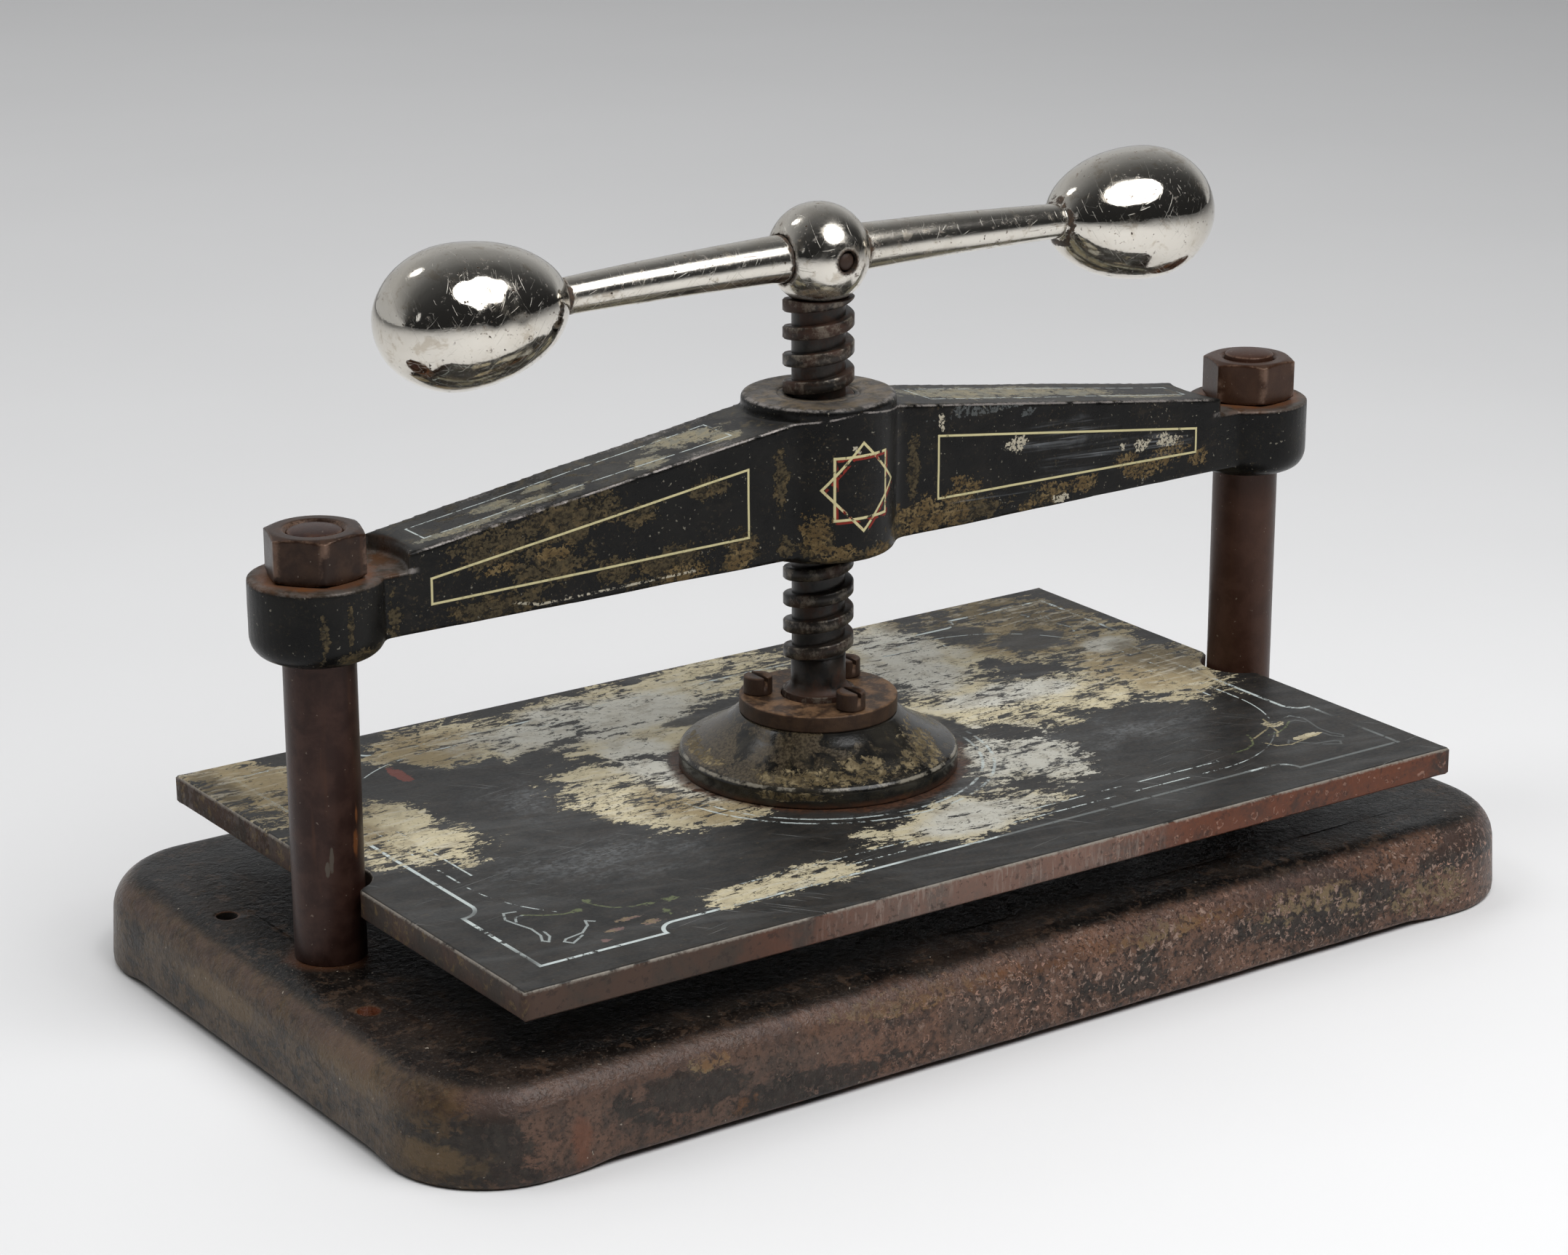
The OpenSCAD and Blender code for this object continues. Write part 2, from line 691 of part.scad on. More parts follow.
// Round hub with bores for the bar, the screw's end and the cross pin
module handle_hub() {
    color("#b9b2a8")
        translate([0, 0, hub_z])
            difference() {
                sphere(d = hub_d);
                translate([-hub_d, -hub_d, -hub_d - hub_d / 2 + hub_flat]) cube([2 * hub_d, 2 * hub_d, hub_d]);
                translate([0, 0, -hub_d]) cylinder(d = spigot_d + 2 * fit_gap, h = hub_d);
                rotate([0, 90, 0]) translate([0, 0, -hub_d]) cylinder(d = bar_mid_d + 2 * fit_gap, h = 2 * hub_d);
                rotate([90, 0, 0]) translate([0, 0, -hub_d]) cylinder(d = pin_d + 2 * fit_gap, h = 2 * hub_d);
            }
}

// Drop, tilt and radius of the bar at distance x from its middle
function bar_past(x) = max(0, x - bar_straight);
function bar_drop(x) = bar_bow * pow(bar_past(x) / (ball_reach - bar_straight), 2);
function bar_tilt(x) = atan(2 * bar_bow * bar_past(x) / pow(ball_reach - bar_straight, 2));
function bar_r(x) = (bar_mid_d + (bar_end_d - bar_mid_d) * bar_past(x) / (neck_x - bar_straight)) / 2;

// Tapered and gently drooping bar, as one row of rings from neck to neck
module bar_sweep() {
    arm = [for (i = [0 : bar_rings]) bar_straight + (neck_x - bar_straight) * i / bar_rings];
    places = concat([for (i = [bar_rings : -1 : 0]) [-1, arm[i]]], [for (x = arm) [1, x]]);
    points = [
        for (p = places, k = [0 : bar_sides - 1])
            let (x = p[1], a = 360 * k / bar_sides, up = bar_r(x) * cos(a))
                [p[0] * (x + up * sin(bar_tilt(x))), bar_r(x) * sin(a), up * cos(bar_tilt(x)) - bar_drop(x)]
    ];
    rings = len(places) - 1;
    sides = [
        for (i = [0 : rings - 1], k = [0 : bar_sides - 1])
            let (a = i * bar_sides + k, b = i * bar_sides + (k + 1) % bar_sides)
                each [[a, b + bar_sides, a + bar_sides], [a, b, b + bar_sides]]
    ];
    first = [for (k = [bar_sides - 1 : -1 : 0]) k];
    last = [for (k = [0 : bar_sides - 1]) rings * bar_sides + k];
    polyhedron(points, concat(sides, [first, last]));
}

// Places its child at the joint of bar and ball, with +Z along the ball's axis
module at_ball_neck() {
    translate([neck_x, 0, -bar_drop(neck_x)]) rotate([0, 90 + bar_tilt(neck_x), 0]) children();
}

// Bar with its two arms and the ends that enter the balls
module handle_bar() {
    color("#aaa39a")
        translate([0, 0, hub_z])
            difference() {
                union() {
                    bar_sweep();
                    for (end = [0, 1])
                        mirror([end, 0, 0])
                            at_ball_neck() translate([0, 0, -bar_end_d])
                                cylinder(d = ball_spigot_d, h = bar_end_d + ball_socket);
                }
                rotate([90, 0, 0]) translate([0, 0, -hub_d]) cylinder(d = pin_d + 2 * fit_gap, h = 2 * hub_d);
            }
}

// Pear-shaped ball on its own axis, from its neck at z = 0
module ball() {
    neck_angle = asin(bar_end_d / ball_d);
    outline = [
        for (t = [0 : ball_step : 90]) [ball_d / 2 * sin(t), ball_neck + ball_outer * cos(t)],
        for (t = [90 - ball_step : -ball_step : neck_angle]) [ball_d / 2 * sin(t), ball_neck - ball_inner * cos(t)],
        [bar_end_d / 2, fit_gap],
        [0, fit_gap]
    ];
    difference() {
        rotate_extrude() polygon(outline);
        translate([0, 0, -past]) cylinder(d = ball_spigot_d + 2 * fit_gap, h = ball_socket + fit_gap + past);
    }
}

module left_ball() {
    color("#b4ada3") translate([0, 0, hub_z]) mirror([1, 0, 0]) at_ball_neck() ball();
}

module right_ball() {
    color("#b4ada3") translate([0, 0, hub_z]) at_ball_neck() ball();
}

// Cross pin through hub and bar, with domed ends just below the hub's surface
module hub_pin() {
    color("#2f2a27")
        translate([0, 0, hub_z])
            intersection() {
                rotate([90, 0, 0]) translate([0, 0, -hub_d]) cylinder(d = pin_d, h = 2 * hub_d);
                sphere(d = hub_d - 2 * pin_depth);
            }
}

base();
left_column();
right_column();
left_top_nut();
right_top_nut();
left_base_nut();
right_base_nut();
bridge();
platen();
screw_socket();
retaining_plate();
right_retaining_screw();
left_retaining_screw();
front_retaining_screw();
socket_screws();
press_screw();
handle_hub();
handle_bar();
left_ball();
right_ball();
hub_pin();
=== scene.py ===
import math

import bmesh
import bpy
from mathutils import Matrix, Vector, noise


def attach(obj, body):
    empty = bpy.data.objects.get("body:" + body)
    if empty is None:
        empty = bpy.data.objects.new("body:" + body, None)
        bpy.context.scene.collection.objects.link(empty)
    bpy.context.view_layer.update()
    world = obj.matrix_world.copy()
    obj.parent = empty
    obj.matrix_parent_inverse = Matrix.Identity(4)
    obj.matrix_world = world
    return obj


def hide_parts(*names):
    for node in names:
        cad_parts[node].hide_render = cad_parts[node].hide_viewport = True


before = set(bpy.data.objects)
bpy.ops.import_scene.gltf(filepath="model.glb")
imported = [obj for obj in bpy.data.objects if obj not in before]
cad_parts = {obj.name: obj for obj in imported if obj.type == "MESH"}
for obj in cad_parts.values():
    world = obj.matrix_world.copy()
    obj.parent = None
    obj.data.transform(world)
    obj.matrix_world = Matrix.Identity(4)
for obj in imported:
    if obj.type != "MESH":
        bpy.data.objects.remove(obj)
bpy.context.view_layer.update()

# Sizes of the press in millimetres, in the frame of the solids
MM = 0.001
COLUMN_X = 208.0
COLUMN_R = 12.7
STUD_R = 9.5
BASE_L, BASE_W, BASE_H = 484.0, 276.0, 35.0
BASE_CORNER = 40.0
BASE_EDGE = 14.0
BASE_DRAFT = 1.0
BASE_WALL = 8.0
BED_T = 9.0
FOOT_H = 2.0
FOOT_X, FOOT_Y = 185.0, 93.0
FOOT_SLOPE = 10.0
HOLE_X, HOLE_Y, HOLE_R = 222.0, 51.8, 4.0
BED_BOSS_R, BED_BOSS_T = 24.0, 6.0
BRIDGE_Z = 145.0
SEAT_Z = 173.2
NUT_H = 16.5
ARM_TOP_Z = 201.0
ARM_SLOPE_X = 26.0
ARM_SLOPE = 21.0 / 150.9
BOSS_R = 28.5
BOSS_Z, BOSS_TOP_Z = 148.5, 206.2
PLATEN_L, PLATEN_W = 409.0, 250.0
PLATEN_Z, PLATEN_TOP_Z = 52.3, 63.0
NOTCH_R = 14.9
NOTCH_MOUTH_R = 4.0
SOCKET_R, LIP_H, SOCKET_TOP_R, SOCKET_H = 52.3, 8.0, 30.0, 21.3
PLATE_Z, PLATE_TOP_Z, PLATE_R = 84.3, 90.6, 29.6
HEAD_R, HEAD_H = 5.4, 6.9
SCREW_CIRCLE_R, SCREW_ANGLE = 22.5, 27.0
SCREW_R, ROOT_R = 13.1, 9.9
PITCH, RIDGE = 10.1, 4.8
THREAD_PHASE = 2.1
NECK_R, COLLAR_R = 10.2, 13.5
FLANGE_R, FLANGE_Z, FLANGE_T = 18.0, 76.5, 7.5
THREAD_Z = 106.0
HUB_Z, HUB_R, HUB_FLAT = 257.4, 18.8, 3.2
THREAD_TOP_Z = HUB_Z - HUB_R + HUB_FLAT
BAR_MID_R, BAR_END_R = 8.65, 6.55
BAR_STRAIGHT = 19.8
BALL_REACH, BALL_R, BALL_OUTER, BALL_INNER = 150.5, 25.4, 30.0, 42.5
BAR_BOW = 3.5
PIN_R = 3.5
SHANK_DEPTH = 7.0
BALL_NECK = BALL_INNER * math.sqrt(1 - (BAR_END_R / BALL_R) ** 2)
NECK_X = BALL_REACH - BALL_NECK
# Running gap between the screw's foot and what holds it
RUNNING_GAP = 0.3
SHANK_R = 2.6
# Inset and height of the base's skirt, down its outside, round its lip and up its inside
SKIRT = [
    (0.8, 17), (0.6, 13), (0.4, 9), (0.25, 6), (0.15, 3.6), (0.3, 1.9), (1.0, 0.7), (2.2, 0.0), (6.0, 0.0),
    (7.3, 0.5), (BASE_WALL, 2.0), (BASE_WALL + 0.2, 8), (BASE_WALL + 0.7, 16),
]
# Radius of the socket's hollow cone and its height over the platen, from the lip up
SOCKET_CONE = [(49.2, 8.7), (46, 10.1), (42, 12.4), (38, 15.0), (34.6, 17.5), (32, 19.7)]
# Unevenness of the cast and plated skins: size and height
BASE_SKIN = (45, 0.22), (12, 0.10)
BRIDGE_SKIN = (40, 0.25), (9, 0.10)
HUB_SKIN = (10, 0.10), (4, 0.03)
BAR_SKIN = (14, 0.08), (5, 0.03)
BALL_SKIN = (16, 0.16), (6, 0.05)
RETAINING_SCREWS = "right_retaining_screw", "left_retaining_screw", "front_retaining_screw"
FLOOR_R = 12000.0
# Slack for a point on the axis in millimetres, and on a cut in metres
ON_AXIS, ON_CUT = 1e-6, 1e-7
THREAD_SHARP_ANGLE = 50


def smooth_step(low, high, value):
    """0 below low, 1 above high and a soft rise between; low may be the larger."""
    t = min(1.0, max(0.0, (value - low) / (high - low)))
    return t * t * (3 - 2 * t)


def quarter(steps, whole=False):
    """Angles of a quarter turn in equal steps, with its end if it is whole."""
    return [math.pi / 2 * k / steps for k in range(steps + whole)]


# Meshes

def in_scene(name, data):
    """Puts an object with this data into the scene."""
    obj = bpy.data.objects.new(name, data)
    bpy.context.scene.collection.objects.link(obj)
    return obj


def new_object(name, points, faces):
    """An object from points in millimetres, smooth shaded."""
    mesh = bpy.data.meshes.new(name)
    mesh.from_pydata([Vector(p) * MM for p in points], [], faces)
    mesh.update()
    mesh.shade_smooth()
    return in_scene(name, mesh)


def settle(obj):
    """Replaces the object's mesh by what its modifiers make of it."""
    graph = bpy.context.evaluated_depsgraph_get()
    mesh = bpy.data.meshes.new_from_object(obj.evaluated_get(graph))
    obj.modifiers.clear()
    obj.data = mesh
    mesh.shade_smooth()
    return obj


def modify(obj, kind, **settings):
    """Adds one modifier and settles it."""
    modifier = obj.modifiers.new(kind.lower(), kind)
    for key, value in settings.items():
        setattr(modifier, key, value)
    return settle(obj)


def cut(obj, *tools):
    """Takes the tools' volumes out of the object and deletes the tools."""
    for tool in tools:
        modify(obj, "BOOLEAN", operation="DIFFERENCE", object=tool, solver="EXACT")
        bpy.data.objects.remove(tool)
    return obj


def merge(name, *parts):
    """One object that holds the meshes of several, which are deleted."""
    bm = bmesh.new()
    for part in parts:
        bm.from_mesh(part.data)
        bpy.data.objects.remove(part)
    mesh = bpy.data.meshes.new(name)
    bm.to_mesh(mesh)
    bm.free()
    mesh.shade_smooth()
    return in_scene(name, mesh)


def place(obj, matrix):
    """Moves the object's mesh, with the matrix's shift in millimetres."""
    shift = Matrix.Translation(matrix.to_translation() * MM)
    obj.data.transform(shift @ matrix.to_3x3().to_4x4())
    return obj


def rounded(outline, radius, steps=4, closed=False):
    """The outline with an arc at each corner; the ends of an open one stay."""
    count = len(outline)
    result = []
    for i, corner in enumerate(outline):
        if not closed and i in (0, count - 1):
            result.append(tuple(corner))
            continue
        corner = Vector(corner)
        before = Vector(outline[i - 1]) - corner
        after = Vector(outline[(i + 1) % count]) - corner
        reach = min(radius, 0.45 * before.length, 0.45 * after.length)
        start = corner + before.normalized() * reach
        end = corner + after.normalized() * reach
        for k in range(steps + 1):
            t = k / steps
            result.append(tuple((1 - t) ** 2 * start + 2 * t * (1 - t) * corner + t * t * end))
    return result


def bridge_rings(rings, wrap=False):
    """Faces between rows of point numbers; a row of one number closes to a tip."""
    faces = []
    pairs = list(zip(rings, rings[1:]))
    if wrap:
        pairs.append((rings[-1], rings[0]))
    for low, high in pairs:
        count = max(len(low), len(high))
        for i in range(count):
            j = (i + 1) % count
            if len(low) == 1:
                faces.append((low[0], high[j], high[i]))
            elif len(high) == 1:
                faces.append((low[i], low[j], high[0]))
            else:
                faces.append((low[i], low[j], high[j], high[i]))
    return faces


def lathe(name, outline, sides=96, closed=False):
    """Turns an outline of radius and height, listed from its foot up its outside, about the Z axis."""
    points, rings = [], []
    for r, z in outline:
        start = len(points)
        if r < ON_AXIS:
            points.append((0, 0, z))
        else:
            points += [(r * math.cos(a), r * math.sin(a), z)
                       for a in (2 * math.pi * k / sides for k in range(sides))]
        rings.append(list(range(start, len(points))))
    return new_object(name, points, bridge_rings(rings, closed))


def arc(cx, cy, r, first, last, steps):
    """Points of an arc between two angles in degrees."""
    angles = [math.radians(first + (last - first) * k / steps) for k in range(steps + 1)]
    return [(cx + r * math.cos(a), cy + r * math.sin(a)) for a in angles]


def plate(name, outline, low, high, edge):
    """A flat plate of the outline, anticlockwise from above, with bevelled edges."""
    count = len(outline)
    inner = []
    for i, p in enumerate(outline):
        p = Vector(p)
        before = (p - Vector(outline[i - 1])).normalized()
        after = (Vector(outline[(i + 1) % count]) - p).normalized()
        along = (before + after).normalized()
        inner.append(p + Vector((-along.y, along.x)) * edge)
    levels = [(inner, low), (outline, low + edge), (outline, high - edge), (inner, high)]
    points = [(p[0], p[1], z) for ring, z in levels for p in ring]
    rings = [list(range(i * count, (i + 1) * count)) for i in range(len(levels))]
    return new_object(name, points, bridge_rings(rings) + [rings[0][::-1], rings[-1]])


def ruffle(obj, *waves):
    """Moves points along their normals by noise, given as pairs of size and height in millimetres."""
    mesh = obj.data
    normals = [n.vector.copy() for n in mesh.vertex_normals]
    for vertex, normal in zip(mesh.vertices, normals):
        place_mm = vertex.co / MM
        rise = sum(high * noise.noise(place_mm / size) for size, high in waves)
        vertex.co += normal * rise * MM
    mesh.update()
    return obj


def dent(obj, spots):
    """Presses round hollows into the object, each given by its middle, radius and depth in millimetres."""
    mesh = obj.data
    normals = [n.vector.copy() for n in mesh.vertex_normals]
    for vertex, normal in zip(mesh.vertices, normals):
        spot = vertex.co / MM
        depth = sum(deep * smooth_step(r, 0, math.dist(spot, middle)) for *middle, r, deep in spots)
        vertex.co -= normal * depth * MM
    mesh.update()
    return obj


def flat_normals(obj):
    """Lets the large flat faces keep their own shading beside small rounded edges."""
    return modify(obj, "WEIGHTED_NORMAL", weight=80)


def solid_copy(name, node):
    """A bare copy of a node's solid."""
    obj = in_scene(name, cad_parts[node].data.copy())
    obj.data.materials.clear()
    return obj


def wear_round(obj, voxel, rounds):
    """Wears the edges of a solid round."""
    modify(obj, "REMESH", mode="VOXEL", voxel_size=voxel * MM)
    return modify(obj, "SMOOTH", factor=0.5, iterations=rounds)


def rod(name, r, low, high, sides=48):
    """A plain closed cutter along Z."""
    return lathe(name, [(0, low), (r, low), (r, high), (0, high)], sides)


def helix(name, root, crest, ridge, low, high, steps=72, edge=0.5):
    """A closed square thread between two heights, in step with the solids' thread."""
    turns = int((high - low) / PITCH) + 4
    first = math.floor((low - THREAD_PHASE) / PITCH) - 1
    half = ridge / 2
    profile = [(root, -half), (crest - edge, -half), (crest, edge - half), (crest, half - edge),
               (crest - edge, half), (root, half), (root, PITCH / 2)]
    width = len(profile)
    rows = turns * width
    points = []
    for i in range(steps):
        angle = 2 * math.pi * i / steps
        for k in range(rows):
            r, rise = profile[k % width]
            z = THREAD_PHASE + PITCH * (first + k // width + i / steps) + rise
            points.append((r * math.cos(angle), r * math.sin(angle), z))
    faces = []
    for i in range(steps):
        lift = width if i == steps - 1 else 0
        after = (i + 1) % steps * rows + lift
        for k in range(rows - 1 - lift):
            faces.append((i * rows + k, after + k, after + k + 1, i * rows + k + 1))
    obj = new_object(name, points, faces)
    bm = bmesh.new()
    bm.from_mesh(obj.data)
    for z, up in ((low, -1), (high, 1)):
        everything = bm.verts[:] + bm.edges[:] + bm.faces[:]
        bmesh.ops.bisect_plane(bm, geom=everything, plane_co=(0, 0, z * MM), plane_no=(0, 0, up),
                               clear_outer=True)
        rim = [e for e in bm.edges
               if e.is_boundary and all(abs(v.co.z - z * MM) < ON_CUT for v in e.verts)]
        bmesh.ops.contextual_create(bm, geom=rim)
    bm.to_mesh(obj.data)
    bm.free()
    obj.data.shade_smooth()
    obj.data.set_sharp_from_angle(angle=math.radians(THREAD_SHARP_ANGLE))
    return obj


# Shader maths

class Field:
    """A socket of a node tree; arithmetic on it adds Math nodes."""

    def __init__(self, nodes, socket):
        self.nodes = nodes
        self.socket = socket

    def math(self, operation, *values):
        return self.nodes.node("ShaderNodeMath", {"operation": operation}, dict(enumerate(values)))

    def __add__(self, other):
        return self.math("ADD", self, other)

    def __sub__(self, other):
        return self.math("SUBTRACT", self, other)

    def __rsub__(self, other):
        return self.math("SUBTRACT", other, self)

    def __mul__(self, other):
        return self.math("MULTIPLY", self, other)

    def __truediv__(self, other):
        return self.math("DIVIDE", self, other)

    def __pow__(self, other):
        return self.math("POWER", self, other)

    def __abs__(self):
        return self.math("ABSOLUTE", self)

    def __neg__(self):
        return self.math("MULTIPLY", self, -1.0)

    __radd__ = __add__
    __rmul__ = __mul__

    def at_least(self, other):
        return self.math("MAXIMUM", self, other)

    def at_most(self, other):
        return self.math("MINIMUM", self, other)

    def swing(self, size):
        """A field from 0 to 1 moved to swing about 0, by this much from end to end."""
        return (self - 0.5) * size


def strongest(*masks):
    best = masks[0]
    for mask in masks[1:]:
        best = best.at_least(mask)
    return best


class Nodes:
    """An emptied node tree and the ways to fill it."""

    def __init__(self, tree):
        self.tree = tree
        tree.nodes.clear()

    def node(self, kind, settings=None, sockets=None, out=0):
        """Adds a node, sets it up, fills its sockets and returns one output, if it has any."""
        made = self.tree.nodes.new(kind)
        for key, value in (settings or {}).items():
            if key == "stops":
                self.set_stops(made.color_ramp.elements, value)
            else:
                setattr(made, key, value)
        for key, value in (sockets or {}).items():
            self.feed(made.inputs[key], value)
        return Field(self, made.outputs[out]) if made.outputs else None

    def set_stops(self, stops, wanted):
        """Gives a colour ramp its stops, each a position and a colour."""
        while len(stops) < len(wanted):
            stops.new(0.5)
        for stop, (position, colour) in zip(stops, wanted):
            stop.position = position
            stop.color = (*colour, 1)

    def feed(self, socket, value):
        """Links a field to a socket, or sets a plain value on it."""
        if isinstance(value, Field):
            self.tree.links.new(value.socket, socket)
        elif isinstance(value, (tuple, list)) and socket.type == "RGBA":
            socket.default_value = (*value, 1)
        else:
            socket.default_value = value

    def parts(self, vector):
        split = self.node("ShaderNodeSeparateXYZ", {}, {0: vector}).socket.node
        return [Field(self, socket) for socket in split.outputs]


# Axes of the planes that worn places are laid out on
TOP, FRONT, SIDE = (0, 1), (0, 2), (1, 2)
# Softness of a painted line's edges in millimetres
LINE_BLUR = 0.12


class Finish(Nodes):
    """A node material; places are in millimetres on the piece itself."""

    def __init__(self, name):
        self.material = bpy.data.materials.new(name)
        self.material.use_nodes = True
        super().__init__(self.material.node_tree)
        shader = self.node("ShaderNodeBsdfPrincipled")
        self.shader = shader.socket.node
        self.node("ShaderNodeOutputMaterial", {}, {0: shader})
        coords = self.node("ShaderNodeTexCoord", out="Object")
        self.place = self.node("ShaderNodeVectorMath", {"operation": "SCALE"}, {0: coords, "Scale": 1 / MM})
        self.x, self.y, self.z = self.parts(self.place)
        self.nx, self.ny, self.nz = self.parts(self.node("ShaderNodeNewGeometry", out="Normal"))

    def stretched(self, along, shift=(0, 0, 0), turn=(0, 0, 0)):
        """The place turned, then divided by a size along each axis, for long or flat grain."""
        return self.node("ShaderNodeMapping", {"vector_type": "TEXTURE"}, {
            "Vector": self.place, "Location": [s * a for s, a in zip(shift, along)],
            "Rotation": [math.radians(a) for a in turn], "Scale": along})

    def noise(self, size, detail=3.0, rough=0.55, warp=0.0, shift=0.0, where=None, out=0):
        """Noise from 0 to 1 with lumps of about this size."""
        where = where or self.stretched((size, size, size), (shift, shift * 0.7, shift * 1.3))
        return self.node("ShaderNodeTexNoise", {}, {
            "Vector": where, "Scale": 1.0, "Detail": detail, "Roughness": rough, "Distortion": warp}, out)

    def grain(self, along, detail=4.0, rough=0.65, warp=0.3, shift=(0, 0, 0), turn=(0, 0, 0)):
        """Noise from 0 to 1 with long or flat lumps."""
        return self.noise(1, detail, rough, warp, where=self.stretched(along, shift, turn))

    def blisters(self, size, share, shift=0.0):
        """Crooked broken rims of lifted paint round a share of scattered cells."""
        wobble = self.noise(size * 0.55, 2, 0.5, 0.0, shift, out="Color")
        where = self.node("ShaderNodeVectorMath", {"operation": "MULTIPLY_ADD"}, {
            0: wobble, 1: (0.7, 0.7, 0.7), 2: self.stretched((size, size, size), (shift, shift, shift))})
        cell = {"Vector": where, "Scale": 1.0}
        off = self.node("ShaderNodeTexVoronoi", {}, cell, "Distance")
        pick = self.parts(self.node("ShaderNodeTexVoronoi", {}, cell, "Color"))[0]
        broken = self.ramp(self.noise(size * 0.45, 2, 0.5, 0.0, shift + 5), 0.44, 0.54)
        rim = self.ramp(abs(off - 0.30), 0.10, 0.03)
        return rim * broken * self.ramp(pick, 1 - share, 1.03 - share)

    def ramp(self, value, low, high):
        """0 at low, 1 at high, with a soft rise; low may be the larger."""
        return self.node("ShaderNodeMapRange", {"interpolation_type": "SMOOTHSTEP"}, {
            "Value": value, "From Min": low, "From Max": high})

    def mix(self, amount, first, second):
        """A colour between two, by amount."""
        return self.node("ShaderNodeMix", {"data_type": "RGBA"}, {0: amount, 6: first, 7: second}, 2)

    def coats(self, colour, *layers):
        """The colour under layers, from the lowest up, each an amount and a colour."""
        for amount, over in layers:
            colour = self.mix(amount, colour, over)
        return colour

    def length(self, u, v):
        return (u * u + v * v) ** 0.5

    def patches(self, plane, spots, rough, low, high):
        """Mask of several ellipses whose outline a field roughens; low and high set its edge.

        A spot is its middle along the plane's two axes, then its half sizes."""
        nearest = None
        for *middles, half_u, half_v in spots:
            scale, shift = [0.0] * 3, [0.0] * 3
            for axis, middle, half in zip(plane, middles, (half_u, half_v)):
                scale[axis], shift[axis] = 1 / half, -middle / half
            spot = self.node("ShaderNodeVectorMath", {"operation": "MULTIPLY_ADD"}, {
                0: self.place, 1: scale, 2: shift})
            far = self.node("ShaderNodeVectorMath", {"operation": "LENGTH"}, {0: spot}, "Value")
            nearest = far if nearest is None else nearest.at_most(far)
        return self.ramp(1 - nearest + rough, low, high)

    def painted(self, off, width):
        """Mask of a painted line, from the distance to its middle."""
        return self.ramp(off, width / 2 + LINE_BLUR, width / 2 - LINE_BLUR)

    def stroke(self, u, v, start, end, width):
        """Mask of a straight painted line between two points."""
        du, dv = end[0] - start[0], end[1] - start[1]
        size = math.hypot(du, dv)
        along = (u - start[0]) * (du / size) + (v - start[1]) * (dv / size)
        aside = (u - start[0]) * (-dv / size) + (v - start[1]) * (du / size)
        return self.painted(abs(aside).at_least(abs(along - size / 2) - size / 2), width)

    def trail(self, u, v, points, width):
        """Mask of painted lines from point to point."""
        return strongest(*(self.stroke(u, v, a, b, width) for a, b in zip(points, points[1:])))

    def trails(self, u, v, lists, width):
        """Mask of several trails."""
        return strongest(*(self.trail(u, v, points, width) for points in lists))

    def outline(self, u, v, corners, width):
        """Mask of painted lines from corner to corner and back to the first."""
        return self.trail(u, v, corners + corners[:1], width)

    def bow(self, u, v, centre, r, width, side_u, side_v):
        """Mask of a painted quarter circle on the given sides of its centre."""
        off = abs(self.length(u - centre[0], v - centre[1]) - r)
        off = off.at_least((u - centre[0]) * -side_u).at_least((v - centre[1]) * -side_v)
        return self.painted(off, width)

    def around(self):
        """The angle about the Z axis in radians, 0 at the front and growing to the right."""
        return self.node("ShaderNodeMath", {"operation": "ARCTAN2"}, {0: self.x, 1: -self.y})

    def bump(self, height, distance):
        """A normal from a height field; distance is the full height in millimetres."""
        return self.node("ShaderNodeBump", {}, {"Height": height, "Strength": 1.0, "Distance": distance * MM})

    def surface(self, **values):
        """Feeds the shader: base_color, roughness, metallic, coat_weight, normal and plain values."""
        for key, value in values.items():
            self.feed(self.shader.inputs[key.replace("_", " ").title().replace("Ior", "IOR")], value)
        return self.material


# Colours of the platen, linear as all that follow
SLATE = (0.014, 0.0137, 0.013)
SLATE_PALE = (0.036, 0.035, 0.033)
SLATE_BROWN = (0.036, 0.030, 0.025)
SLATE_DEEP = (0.007, 0.0075, 0.008)
SLATE_FLECK = (0.13, 0.10, 0.06)
WIPE = (0.17, 0.18, 0.185)
CREAM = (0.52, 0.46, 0.31)
WHITE = (0.52, 0.51, 0.45)
OCHRE = (0.29, 0.23, 0.13)
GROUND_BROWN = (0.105, 0.082, 0.048)
GROUND_DIRTY = (0.20, 0.165, 0.11)
GROUND_BLEACHED = (0.56, 0.54, 0.46)
LINE_PALE = (0.52, 0.58, 0.57)
VINE_GREEN = (0.16, 0.19, 0.085)
FLOWER_TAN = (0.30, 0.22, 0.13)
FLOWER_PINK = (0.24, 0.14, 0.13)
SPRIG_TAN = (0.34, 0.29, 0.17)
SCRATCH_PALE = (0.36, 0.37, 0.36)
RED_MARK = (0.20, 0.045, 0.030)
EDGE_RED = (0.118, 0.040, 0.021)
EDGE_BROWN = (0.046, 0.027, 0.021)
EDGE_GREY = (0.042, 0.035, 0.027)
EDGE_EARTH = (0.17, 0.115, 0.048)
EDGE_BRICK = (0.150, 0.048, 0.022)
EDGE_SCRAPED = (0.25, 0.195, 0.165)
EDGE_DARK = (0.022, 0.015, 0.012)
# Pale worn arris, also painted as a highlight along the top edge
ARRIS_WORN_AND_HIGHLIT = (0.30, 0.27, 0.23)

# Rust and blistered paint, on several pieces; the dark rust also serves as painted shade
RUST = (0.085, 0.036, 0.018)
RUST_BRIGHT = (0.27, 0.095, 0.028)
DARK_RUST_AND_SHADE = (0.038, 0.021, 0.014)
RUST_FLECK = (0.20, 0.13, 0.08)
IRON_DARK = (0.010, 0.009, 0.008)
PINK = (0.42, 0.25, 0.185)

